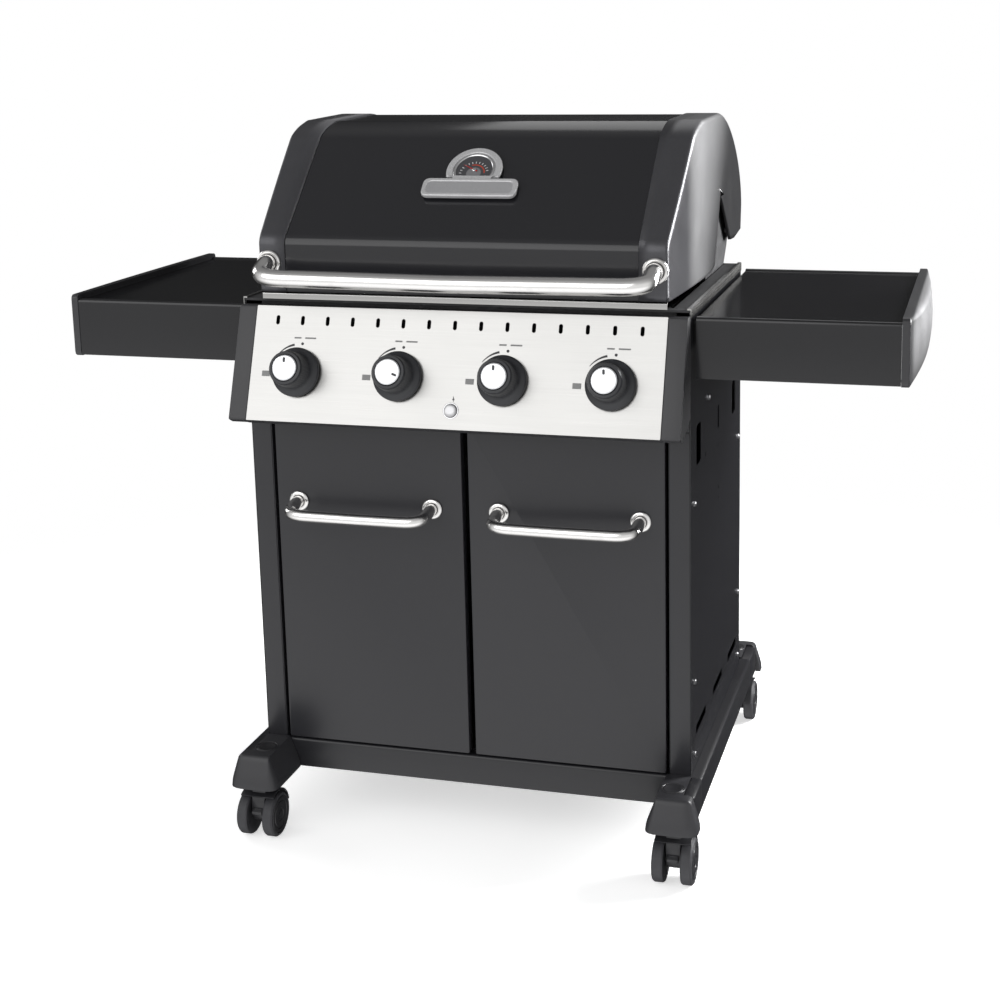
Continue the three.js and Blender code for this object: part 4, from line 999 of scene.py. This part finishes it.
# ------------------------------------------------------------------ cart
SIDE_CUTS = ((-190, 690, 44, 66, 8), (-2, 690, 16, 40, 5), (160, 688, 40, 60, 12),
             (-170, 210, 95, 16, 7), (-5, 210, 95, 16, 7), (150, 210, 95, 16, 7))
SIDE_HOLES = ((-125, 655), (-4, 640), (0, 565), (0, 545))


def centred(x, y, width, height):
    return rectangle(x - width / 2, x + width / 2, y - height / 2, y + height / 2)


@operator
class GRILL_OT_panels(bpy.types.Operator):
    """Side panels with their openings and folded stiles, and the ribbed back panel"""

    bl_idname = "grill.panels"
    bl_label = "Cart panels"

    def execute(self, context):
        sheet, stile = 2.0, CART_HALF - 34
        (_, y0, z0), (_, y1, z1) = CART_LOW, CART_HIGH
        lines = [rounded(rectangle(y0, y1, z0, z1), 1.5, 3)]
        lines += [rounded(centred(*cut), radius, 6) for *cut, radius in SIDE_CUTS]
        lines += [circle(y, z, 4.5, 20) for y, z in SIDE_HOLES]
        for name, side in SIDES:
            start = CART_HALF - sheet if side > 0 else -CART_HALF
            turn = Matrix(((0, 0, 1, start * MM), (1, 0, 0, 0), (0, 1, 0, 0), (0, 0, 0, 1)))
            pierced(f"side_sheet_{name}", lines, sheet, turn, "panel", replaces=[f"side_panel_{name}"])
            across = mirrored(side, stile, CART_HALF - 0.3)
            ends = (y0, y0 + sheet), (y1 - sheet, y1)
            shells = [block(*across, *end, z0, CABINET_TOP, 0.8) for end in ends]
            shells.append(block(*mirrored(side, stile - 1.4, stile), y0 + 1, y0 + 42, z0, CABINET_TOP, 0.6))
            piece(f"stiles_{name}", shells, "door")
        self.back()
        return {"FINISHED"}

    def back(self):
        """A sheet pressed with soft ribs: its depth is a sum of smooth ridges across it."""
        low, high = node_box("back_panel")
        m, n, rib = 90, 160, 1.6
        across, upright = np.meshgrid(np.linspace(low[0], high[0], n), np.linspace(low[2], high[2], m))
        fade = np.clip((290 - np.abs(across)) / 14, 0, 1) ** 2
        ribs = sum(np.exp(-((upright - level) / 7.0) ** 4) for level in (230, 330, 430, 530, 630)) * fade * rib
        outer = np.stack([across, high[1] - 0.2 - ribs, upright], -1)
        inner = outer - [0, 1.4, 0]
        count = m * n
        index = np.arange(count).reshape(m, n)
        edge = np.concatenate([index[0], index[1:, -1], index[-1, -2::-1], index[-2:0:-1, 0]])
        after = np.roll(edge, -1)
        faces = grid_faces(m, n).tolist()
        faces += [[i + count for i in f[::-1]] for f in faces]
        faces += np.stack([edge, after, after + count, edge + count], -1).tolist()
        points = np.concatenate([outer.reshape(-1, 3), inner.reshape(-1, 3)])
        piece("ribbed_back", [(points, faces)], "panel", replaces=["back_panel"], angle=60)


@operator
class GRILL_OT_doors(bpy.types.Operator):
    """Folded door pans, their pivots and chrome handles"""

    bl_idname = "grill.doors"
    bl_label = "Doors"

    def execute(self, context):
        radius = context.scene.grill_sizes.door_handle / MM
        for name, side in SIDES:
            self.pan(name, side)
            self.handle(name, side, radius)
        return {"FINISHED"}

    def pan(self, name, side):
        """Rings from the hollow out over the rim: the front edge is a quarter circle as large as its fold."""
        x0, x1, low, high = 5.5, 331.0, 151.0, 722.0
        front, back, fold = CART_FRONT, CART_FRONT + 18, 1.8
        steps = [(2, front + 2, 1.5), (2, back, 1.5), (0, back, 3), (0, front + fold, 3)]
        steps += [(fold * (1 - math.cos(k)), front + fold * (1 - math.sin(k)), 3)
                  for k in np.radians((30, 60, 90))]
        rows = [place(rounded(rectangle(x0 + d, x1 - d, low + d, high - d), r, 5) * [side, 1], "y", level)
                for d, level, r in steps]
        shells = [shell(np.stack(rows), close_v=True, caps=True)]
        for z0, z1 in ((low - 9, low + 3), (high - 3, high + 9)):
            pin = [(0, z0), (3, z0), (3, z1), (0, z1)]
            shells.append(turned(pin, (side * 322, front + 9, 0), (0, 0, 1), 16))
        piece(f"door_pan_{name}", shells, "door", f"door_{name}", [f"door_{name}"])

    def handle(self, name, side, radius):
        """A tube along a path with rounded bends, a domed boss at each end and a dark washer under it."""
        middle, half, z, face = side * 174.5, 117.5, 576.0, CART_FRONT - 0.3
        bar, low = CART_FRONT - 60, 568.0
        path = [(-half, face - 1, z), (-half, face - 14, z), (-half + 1, bar + 2, low), (0, bar, low),
                (half - 1, bar + 2, low), (half, face - 14, z), (half, face - 1, z)]
        path = rounded(path, [0, 10, 34, 20, 34, 10, 0], 14, closed=False) + [middle, 0, 0]
        boss = [(10.4, 0.6), (13.6, 0.6), (16.8, 1.4), (17, 3.2), (15.6, 5.0), (13.2, 5.6), (11.4, 5.2), (10.4, 4.2)]
        seats = [[(0, 0.1), (16.4, 0.1), (16.4, 0.9), (0, 0.9)], [(9.6, 0.6), (12.2, 0.6), (12.2, 4.6), (9.6, 4.6)]]
        feet = [(middle - half, face, z), (middle + half, face, z)]
        bar_handle(f"door_tube_{name}", f"door_handle_seats_{name}", tube(path, radius, 28), feet, boss, seats,
                   (44, 32), f"door_{name}", [f"door_handle_{name}"])


# ------------------------------------------------------------------ control box
@operator
class GRILL_OT_fascia(bpy.types.Operator):
    """Brushed fascia with its row of vents, the printed marks and the dark housing round it"""

    bl_idname = "grill.fascia"
    bl_label = "Control fascia"

    def execute(self, context):
        lines = [rounded(rectangle(-FASCIA_HALF, FASCIA_HALF, 0, FASCIA_LENGTH), 1.2, 3)]
        lines += [obround((i - VENTS // 2) * VENT_PITCH, panel_up(VENT_Z), 6, 15) for i in range(VENTS)]
        lines += [circle(x, panel_up(KNOB_Z), 12) for x in KNOB_X]
        lines.append(circle(BUTTON_AT[0], panel_up(BUTTON_AT[1]), 10.8))
        turn = PANEL_FRAME @ Matrix.Translation((0, 0, 0.3 * MM))
        pierced("fascia_sheet", lines, 1.5, turn, "steel", replaces=["control_fascia"])
        self.marks()
        self.housing()
        return {"FINISHED"}

    def marks(self):
        """Marks just proud of the sheet: by each knob a wedge round an arc, a dot and three bars."""
        level, dark, pale = 1.82, [], []
        v = panel_up(KNOB_Z)
        turn = np.array(PANEL_FRAME)[:3, :3]

        def raised(outline):
            rows = np.stack([place(outline, "z", level), place(outline, "z", level + 0.15)])
            return shell(rows @ turn.T + [0, *FASCIA_FOOT], close_v=True, caps=True)

        a, grow = np.radians(np.linspace(142, 102, 16)), np.linspace(0.5, 1.9, 16)
        round_arc = np.column_stack([np.cos(a), np.sin(a)])
        wedge = np.vstack([round_arc * (46.5 + grow)[:, None], (round_arc * (46.5 - grow)[:, None])[::-1]])
        for x in KNOB_X:
            dark += [raised(wedge + [x, v]), raised(circle(x + 4, v + 47.5, 2.4, 16))]
            for dx, dy, width, height in ((-5, 57, 12, 2.6), (17, 57, 19, 2.6), (-54.5, -3, 14, 9)):
                pale.append(raised(rounded(centred(x + dx, v + dy, width, height), 0.5, 3)))
        spark = np.array([(2, 24), (5, 17), (3, 17.4), (4.2, 13), (0.4, 19), (2.2, 18.8)])
        dark.append(raised(spark + [BUTTON_AT[0], panel_up(BUTTON_AT[1])]))
        piece("fascia_marks", dark, "ink")
        piece("fascia_pale_marks", pale, "pale_ink")

    def housing(self):
        """Cheeks, sole, crown and header as rounded prisms joined in one piece."""
        rear, front = CART_FRONT - 0.3, CART_FRONT + 26
        foot, head = FASCIA_FOOT, FASCIA_HEAD
        cheek = [foot + PROUD * 1.8, foot + [12, -7], [rear, foot[1] + 14], [rear, head[1]], head + PROUD * 1.8]
        cheek = rounded(cheek, [3, 3, 1, 2, 4], 5)
        sole = [foot + [0, 0.2], foot + [12, -7], [rear, foot[1] - 6], [rear, foot[1] - 3.5], foot + [13, -3.5]]
        foot_z, top_z = CABINET_TOP + 2, CABINET_TOP + 24
        header = [(rear - 4, foot_z), (front, foot_z), (front, foot_z + 4), (rear + 4, foot_z + 4), (rear + 4, top_z),
                  (rear - 4, top_z)]
        shells = [prism(cheek, "x", *mirrored(side, FASCIA_HALF + 0.4, CART_HALF), 1.4) for _, side in SIDES]
        crown = rectangle(head[0], rear, head[1] - 3, head[1])
        for outline, half in ((sole, 343), (crown, 343), (header, 369.7)):
            shells.append(prism(outline, "x", -half, half))
        piece("housing_shell", shells, "housing", replaces=["control_housing"], angle=35)


@operator
class GRILL_OT_knobs(bpy.types.Operator):
    """Knobs with a skirt, a ribbed grip, a spun cap, its index bar and a seat ring, and the igniter button"""

    bl_idname = "grill.knobs"
    bl_label = "Knobs"

    def execute(self, context):
        sizes, v = context.scene.grill_sizes, panel_up(KNOB_Z)
        for i, x in enumerate(KNOB_X, 1):
            self.knob(i, x, v, sizes.skirt / MM, sizes.grip / MM, math.radians(-20 if i == 2 else 95))
        at = panel_point(BUTTON_AT[0], panel_up(BUTTON_AT[1]), 0)
        push = [(0, -14), (4, -14), (4, -8), (10.4, -8), (10.5, 4.4), (9.8, 6.0), (8.6, 6.7), (4, 6.9), (0, 6.9)]
        piece("igniter_push", [turned(push, at, PANEL_AXIS)], "button", "igniter", ["igniter_button"])
        ring = [(10.9, 1.7), (12.8, 1.7), (12.8, 2.4), (12.2, 2.9), (11.4, 2.9), (10.9, 2.4)]
        piece("igniter_ring", [turned(ring, at, PANEL_AXIS)], "bezel")
        seat = [(12.3, 1.8), (17, 1.8), (17, 1.95), (16.2, 2.1), (13, 2.1), (12.3, 1.95)]
        for i, x in enumerate(KNOB_X, 1):
            rings = [turned(seat, panel_point(x, v, 0), PANEL_AXIS)]
            piece(f"knob_seat_{i}", rings, "bezel")
        return {"FINISHED"}

    def knob(self, i, x, v, skirt, grip, away):
        """A grip turned about the stem with 48 ribs, a turned cap, and a bar on the cap at the angle away."""
        body, at = f"knob_{i}", panel_point(x, v, 0)
        base = [(4.4, 6.2), (skirt - 1.2, 6.2), (skirt, 7.4), (skirt, 11), (skirt - 1.2, 13.2), (skirt - 3.4, 14.2),
                (grip + 5.6, 17), (grip + 3.0, 19.5), (grip + 1.8, 23), (grip + 1.0, 47), (grip + 0.7, 50.4),
                (grip - 0.8, 52.8), (22.4, 53.6), (21.4, 52.4), (19, 51), (4.4, 43.5)]
        cap = [(0, 50), (20.2, 50), (20.8, 53), (20.4, 55.0), (19.2, 55.9), (17.6, 56.1), (16.8, 55.8), (16.0, 55.9),
               (8, 56.6), (0, 56.8)]
        grips = [turned(base, at, PANEL_AXIS, 192, 48, 0.35, (8, 10))]
        piece(f"knob_grip_{i}", grips, "knob", body, [f"control_knob_{i}"], 38)
        piece(f"knob_cap_{i}", [turned(cap, at, PANEL_AXIS, 72)], "knob_cap", body, angle=30)
        spot = panel_point(x + 12.5 * math.cos(away), v + 12.5 * math.sin(away), 0)
        line = rounded(rectangle(-4.0, 4.0, -1.9, 1.9), 1.6, 4)
        radial = np.array([math.cos(away), *(LEAN * math.sin(away))])
        across = np.array([-math.sin(away), *(LEAN * math.cos(away))])
        rows = [spot + line[:, :1] * radial + line[:, 1:] * across + PANEL_AXIS * w for w in (54.5, 56.9)]
        piece(f"knob_mark_{i}", [shell(np.stack(rows), close_v=True, caps=True)], "knob", body)


# ------------------------------------------------------------------ lid
@operator
class GRILL_OT_lid(bpy.types.Operator):
    """The lid's centre skin and its cast ends"""

    bl_idname = "grill.lid"
    bl_label = "Lid"

    def execute(self, context):
        section = np.vstack([lid_line(SKIN_INSET), lid_line(SKIN_INSET + SKIN_WALL)[::-1]])
        front, rim = LID_FRONT + SKIN_INSET, LID_RIM + 0.2
        fold = rounded(rectangle(front, front + 12, rim, rim + 2), 0.8, 4)
        shells = [prism(line, "x", -SKIN_HALF, SKIN_HALF) for line in (section, fold)]
        piece("lid_centre", shells, "lid", "lid", ["lid_skin"], 30)
        for name, side in SIDES:
            self.end(name, side, context.scene.grill_sizes.shoulder / MM)
        return {"FINISHED"}

    def end(self, name, side, shoulder):
        """The lid's line carried out to the shoulder, then drawn in on a quarter circle to the flat flank."""
        line = lid_line()
        inward = inwards(line)
        start, stop, wall = 293.2, float(END_HIGH[0]), 4.5
        a = np.radians(np.linspace(0, 90, 8))
        edge = line + inward * shoulder
        t = np.linspace(0, 1, 22)[1:]
        flat = edge[:, None] + (self.inner_edge(edge) - edge)[:, None] * t[None, :, None]
        corner = line[:, None] + inward[:, None] * (shoulder * (1 - np.cos(a)))[None, :, None]
        full = np.concatenate([np.repeat(line[:, None], 2, 1), corner, flat], 1)
        level = np.concatenate([[start, (start + stop) / 2], stop - shoulder + shoulder * np.sin(a),
                                np.full(len(t), stop)])
        fall = 13.0 * np.clip((40 - full[:, :, 0]) / 312, 0, 1) ** 2
        share = np.clip((level - start) / (stop - start), 0, 1) ** 2
        across = side * (level[None, :] - fall * share[None, :])
        verts, faces = shell(np.concatenate([across[:, :, None], full], 2))
        if side > 0:
            faces = [f[::-1] for f in faces]
        obj = piece(f"lid_casting_{name}", [(verts, faces)], "casting", "lid", [f"lid_end_{name}"], 30,
                    clean=False)
        solid = obj.modifiers.new("wall", "SOLIDIFY")
        solid.thickness = wall * MM
        solid.offset = -1
        solid.use_even_offset = False

    def inner_edge(self, edge):
        """The flank's lower edge, a point for each of the shoulder's: along the rim, round the notch, to the back."""
        corners = np.vstack([[edge[0, 0], LID_RIM], NOTCH[::-1], edge[-1]])
        whole = walked(edge)
        share = whole / whole[-1]
        knots = np.interp([0, 0.14, 0.40, 0.74, 0.85, 1.0], share, whole) / whole[-1]
        return at_lengths(np.interp(share, knots, walked(corners)), corners)


@operator
class GRILL_OT_lid_handle(bpy.types.Operator):
    """Chrome bar across the lid on two round bosses"""

    bl_idname = "grill.lid_handle"
    bl_label = "Lid handle"

    def execute(self, context):
        radius = context.scene.grill_sizes.handle / MM
        x, z, face = 320.0, 979.0, LID_FRONT - 0.3
        bar, low = -331.0, 960.0
        path = [(-x, face - 1, z), (-x, face - 16, z), (-x + 2, bar + 4, low + 2), (0, bar, low),
                (x - 2, bar + 4, low + 2), (x, face - 16, z), (x, face - 1, z)]
        path = rounded(path, [0, 14, 46, 20, 46, 14, 0], 16, closed=False)
        boss = [(15, 0.4), (18, 0.4), (21, 1.4), (21.3, 3.6), (20.2, 6.2), (18.4, 7.2), (16.6, 6.8), (15, 5.4)]
        seats = [[(0, 0.1), (20.6, 0.1), (20.6, 0.8), (0, 0.8)], [(13.4, 0.6), (16.8, 0.6), (16.8, 5.6), (13.4, 5.6)]]
        bar_handle("lid_bar", "lid_bar_seats", tube(path, radius, 36), [(-x, face, z), (x, face, z)], boss, seats,
                   (56, 40), "lid", ["lid_handle"])
        return {"FINISHED"}


@operator
class GRILL_OT_gauge(bpy.types.Operator):
    """Round temperature gauge in an arched bezel over a blank plate"""

    bl_idname = "grill.gauge"
    bl_label = "Temperature gauge"

    def execute(self, context):
        plate = rounded(centred(0, BADGE_S, 160, 38), 12, 8)
        window = rounded(centred(0, BADGE_S, 144, 23), 8, 8)
        badge = plate * 0.985 + [0, BADGE_S * 0.015]
        arch = [arc((0, DIAL_S), 47, 200, -20, 40), circle(0, DIAL_S, 35.5, 56)]
        lift = SLOPE_FRAME @ Matrix.Translation((0, 0, GAUGE_LIFT * MM))
        pierced("badge_rim", [plate, window], 7.6, lift, "silver", "lid", ["temperature_gauge"], 2.0)
        pierced("badge_plate", [badge], 6.7, lift, "plate", "lid", edge=0.8)
        pierced("gauge_arch", arch, 6.4, lift, "silver", "lid", edge=2.0)
        at = slope_point(0, DIAL_S, GAUGE_LIFT)
        ring = [(30.4, 2), (35.8, 2), (35.8, 4.8), (34.6, 6.0), (33, 6.4), (31.4, 6.1), (30.4, 5.2)]
        face = [(0, 1), (31, 1), (31, 4.2), (0, 4.2)]
        hub = [(0, 4), (3.2, 4), (3.2, 6), (2.4, 6.6), (0, 6.6)]
        stem = [(0, -62), (3, -62), (4, -60), (4, 2.5), (0, 2.5)]
        way = np.array([math.cos(math.radians(152)), math.sin(math.radians(152))])
        wide = np.array([-way[1], way[0]]) * 1.1
        needle = [way * 22, way * -6 + wide, way * -6 - wide]
        rows = [[slope_point(a, DIAL_S + b, GAUGE_LIFT + w) for a, b in needle] for w in (5.0, 5.8)]
        piece("gauge_ring", [turned(ring, at, SLOPE_AXIS, 72)], "bezel", "lid", angle=45)
        piece("gauge_face", [turned(face, at, SLOPE_AXIS, 72)], "dial", "lid")
        piece("gauge_needle", [shell(np.array(rows), close_v=True, caps=True)], "needle", "lid")
        piece("gauge_hub", [turned(hub, at, SLOPE_AXIS, 24)], "bezel", "lid")
        probe = [turned(stem, slope_point(0, 150, 0), SLOPE_AXIS, 20)]
        piece("gauge_probe", probe, "aluminium", "lid")
        return {"FINISHED"}


# ------------------------------------------------------------------ shelves
@operator
class GRILL_OT_shelves(bpy.types.Operator):
    """Folded shelf decks with a raised lip, and crowned end caps"""

    bl_idname = "grill.shelves"
    bl_label = "Side shelves"

    def execute(self, context):
        for name, side in SIDES:
            self.deck(name, side)
            self.cap(name, side)
        return {"FINISHED"}

    def deck(self, name, side):
        """A folded line (y, z) carried along the shelf: front apron, edge, sunk deck and back apron."""
        front, back, top, low = -248.0, 269.0, 905.0, 808.0
        under = top - 55
        outer = [(front + 1.2, low), (front, low), (front, top), (front + 14, top), (front + 17, top - 3.2),
                 (back - 17, top - 3.2), (back - 14, top), (back, top), (back, under)]
        inner = [(back - 2, under), (back - 2, top - 2), (back - 12.6, top - 2), (back - 15.6, top - 5.2),
                 (front + 15.6, top - 5.2), (front + 12.6, top - 2), (front + 2, top - 2), (front + 2, low + 8),
                 (front + 12, low + 8), (front + 12, low + 6), (front + 1.2, low + 6)]
        radii = [0.6, 1.5, 6, 2.5, 2.5, 2.5, 2.5, 6, 0.6] + [0.6, 4, 2, 2, 2, 2, 4, 2, 0.6, 0.6, 1]
        section = rounded(outer + inner, radii, 5)
        plate = rounded(rectangle(front + 3, back - 3, under, top - 6), 2, 3)
        shells = [prism(section, "x", *mirrored(side, SHELF_INNER, SHELF_OUTER)),
                  prism(plate, "x", *mirrored(side, SHELF_INNER + 0.2, SHELF_INNER + 2))]
        for y in (-190, 190):
            shells.append(block(*mirrored(side, 372.4, SHELF_INNER + 1), y - 20, y + 20, top - 50, top - 15, 1))
        piece(f"shelf_deck_{name}", shells, "deck", replaces=[f"side_shelf_{name}"])

    def cap(self, name, side):
        """Rings across X: the end's rounded outline, drawn in on an ellipse towards a bowed crown."""
        (_, y0, z0), (crown, y1, z1) = node_box("shelf_end_cap_right")
        start, corner = SHELF_OUTER + 0.3, 701.0
        mid = np.array([y0 + y1, z0 + z1]) / 2
        half_y, half_z = y1 - mid[0], z1 - mid[1]
        ring = resampled(rounded(rectangle(y0, y1, z0, z1), 7, 7), 260)
        bow = 1 - np.clip(np.abs(ring[:, 0] - mid[0]) / half_y, 0, 1) ** 2.2
        rows = [np.column_stack([np.full(len(ring), start), ring])]
        for k in np.radians(np.linspace(0, 90, 12)):
            draw = 1 - math.cos(k)
            y = mid[0] + (ring[:, 0] - mid[0]) * (1 - 10 * draw / half_y)
            z = mid[1] + (ring[:, 1] - mid[1]) * (1 - (8 + 6 * bow) * draw / half_z)
            rows.append(np.column_stack([corner + (3 + 14.5 * bow) * math.sin(k), y, z]))
        last = rows[-1]
        for k in (0.8, 0.6, 0.4, 0.2, 0.0):
            swell = (crown - corner - 17.5) * (1 - k * k) * bow
            rows.append(np.column_stack([last[:, 0] + swell, last[:, 1], mid[1] + (last[:, 2] - mid[1]) * k]))
        verts, faces = shell(np.stack(rows) * [side, 1, 1], close_v=True)
        faces.append(list(range(len(ring))))
        piece(f"shelf_cap_{name}", [(verts, faces)], "cap", replaces=[f"shelf_end_cap_{name}"], angle=38)


# ------------------------------------------------------------------ cooking parts
@operator
class GRILL_OT_grids(bpy.types.Operator):
    """Cooking grids with ridged bars, and the warming rack's wires"""

    bl_idname = "grill.grids"
    bl_label = "Grids and rack"

    def execute(self, context):
        for name, _ in SIDES:
            self.grid(name)
        self.rack(context.scene.grill_sizes.wire / MM / 2)
        return {"FINISHED"}

    def grid(self, name):
        """A frame of stacked rings, ridged bars carried along Y and cross bars carried along X."""
        node = f"cooking_grid_{name}"
        (x0, y0, z0), (x1, y1, z1) = node_box(node)
        steps = ((0, z0), (0, z1 - 1.5), (1.2, z1 - 0.3), (8.8, z1 - 0.3), (10, z1 - 1.5), (10, z0))
        rows = [place(rounded(rectangle(x0 + d, x1 - d, y0 + d, y1 - d), 6, 5), "z", z) for d, z in steps]
        shells = [shell(np.stack(rows), close_u=True, close_v=True)]
        bar = np.array([(-2.2, z0 + 1), (2.2, z0 + 1), (3.6, z1 - 3), (3.0, z1 - 0.6), (0, z1), (-3.0, z1 - 0.6),
                        (-3.6, z1 - 3)])
        shells += [prism(bar + [x, 0], "y", y0 + 8, y1 - 8) for x in np.linspace(x0 + 5, x1 - 5, 16)[1:-1]]
        for y in np.linspace(y0, y1, 5)[1:-1]:
            cross = rounded(rectangle(y - 3, y + 3, z0 + 0.5, z1 - 4), 1, 3)
            shells.append(prism(cross, "x", x0 + 8, x1 - 8))
        piece(f"iron_grid_{name}", shells, "iron", replaces=[node], angle=25)

    def rack(self, r):
        """Straight wires along the rack on a bent frame, each a tube."""
        half, y0, y1, z, foot = 285.0, 40.0, 190.0, 993.0, 880.6
        middle = (y0 + y1) / 2
        along = [(y, r, 10) for y in (y0 + r, y1 - r)]
        along += [(y, r * 0.72, 8) for y in np.linspace(y0, y1, 10)[1:-1]]
        shells = [tube([(x, y, z) for x in (-half + r, 0, half - r)], *wire) for y, *wire in along]
        for x in (-half + r, 0, half - r):
            shells.append(tube([(x, y, z - r) for y in (y0 + r, middle, y1 - r)], r, 10, (1, 0, 0)))
        for _, side in SIDES:
            y = middle + 3
            path = [(side * (half - 2), y, z), (side * 325, y, z), (side * 325, y, foot)]
            shells.append(tube(rounded(path, [0, 12, 0], 8, closed=False), r, 10, (0, 1, 0)))
        piece("rack_wires", shells, "wire", replaces=["warming_rack"], angle=50)


@operator
class GRILL_OT_trims(bpy.types.Operator):
    """Bright trims on the firebox rim, the lip in front of it, and the bolts that hold the cart together"""

    bl_idname = "grill.trims"
    bl_label = "Trims and bolts"

    def execute(self, context):
        rim = [(367, 918.1), (372.4, 918.1), (372.4, 906), (373.4, 906), (373.4, 920.6), (367, 920.6)]
        for name, side in SIDES:
            section = rounded(np.array(rim) * [side, 1], [0.4, 0.4, 0.3, 0.3, 1.2, 0.4], 4)
            piece(f"rim_trim_{name}", [prism(section, "y", -264, 236)], "side_trim")
        (x0, y, foot), (x1, _, z) = node_box("firebox_front_lip")
        line = [(y + 1.5, foot + 0.4), (y + 1.5, z - 1.4), (CART_FRONT + 4, z - 1.4), (CART_FRONT + 4, z), (y, z),
                (y, foot + 0.4)]
        section = rounded(line, [0.3, 0.8, 0.3, 0.3, 2.4, 0.3], 6)
        piece("front_lip", [prism(section, "x", x0, x1, 0.4)], "trim", replaces=["firebox_front_lip"])
        self.bolts()
        return {"FINISHED"}

    def bolts(self):
        """One turned head at each place, facing out of the side panels, the back and the shelves' plates."""
        head = [(0, 0.0), (5.2, 0.0), (5.2, 1.0), (4.2, 2.2), (2.4, 2.9), (1.6, 2.9), (1.6, 1.6), (0, 1.6)]
        panel = ((-230, 600), (-230, 300), (215, 600), (215, 300), (-230, 175), (215, 175), (-100, 745), (120, 745))
        plate = [(y, z) for y in (-190, 190) for z in (862, 882)]
        out = CART_HALF + 0.1, SHELF_INNER + 2.2
        spots = [((side * out[0], y, z), (side, 0, 0)) for _, side in SIDES for y, z in panel]
        spots += [((x, CART_BACK + 0.1, z), (0, 1, 0)) for x in (-300, -100, 100, 300) for z in (165, 705)]
        spots += [((side * out[1], y, z), (side, 0, 0)) for _, side in SIDES for y, z in plate]
        piece("cart_bolts", [turned(head, at, way, 24) for at, way in spots], "bolt")


CARRIED_OVER = {
    "bottom_shelf": "panel", "gas_manifold": "brass", "firebox": "firebox", "heat_tamer": "tamer",
    "grease_tray": "aluminium", "lid_hinge_pin_left": "bolt", "lid_hinge_pin_right": "bolt",
    **{f"valve_stem_{i}": "brass" for i in range(1, 5)},
    **{f"burner_{i}": "aluminium" for i in range(1, 5)},
}


@operator
class GRILL_OT_finishes(bpy.types.Operator):
    """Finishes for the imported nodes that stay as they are"""

    bl_idname = "grill.finishes"
    bl_label = "Finishes"

    def execute(self, context):
        for name, look in CARRIED_OVER.items():
            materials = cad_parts[name].data.materials
            materials.clear()
            materials.append(finishes()[look])
        return {"FINISHED"}


class GRILL_PT_panel(bpy.types.Panel):
    """Lists the grill's settings and the steps that build it"""

    bl_label = "Gas barbecue grill"
    bl_idname = "GRILL_PT_panel"
    bl_space_type = "VIEW_3D"
    bl_region_type = "UI"
    bl_category = "Grill"

    def draw(self, context):
        for group in (context.scene.grill_sizes, context.scene.grill_colours, context.scene.grill_stage):
            for key in group.__annotations__:
                self.layout.prop(group, key)
        for step in GRILL_OPERATORS:
            self.layout.operator(step.bl_idname)


CLASSES = [GrillSizes, GrillColours, GrillStage, *GRILL_OPERATORS, GRILL_PT_panel]


def register():
    for cls in CLASSES:
        bpy.utils.register_class(cls)
    bpy.types.Scene.grill_sizes = bpy.props.PointerProperty(type=GrillSizes)
    bpy.types.Scene.grill_colours = bpy.props.PointerProperty(type=GrillColours)
    bpy.types.Scene.grill_stage = bpy.props.PointerProperty(type=GrillStage)


def unregister():
    del bpy.types.Scene.grill_sizes, bpy.types.Scene.grill_colours, bpy.types.Scene.grill_stage
    for cls in reversed(CLASSES):
        bpy.utils.unregister_class(cls)


def main():
    register()
    for step in GRILL_OPERATORS:
        family, call = step.bl_idname.split(".")
        getattr(getattr(bpy.ops, family), call)()


if __name__ == "__main__":
    main()
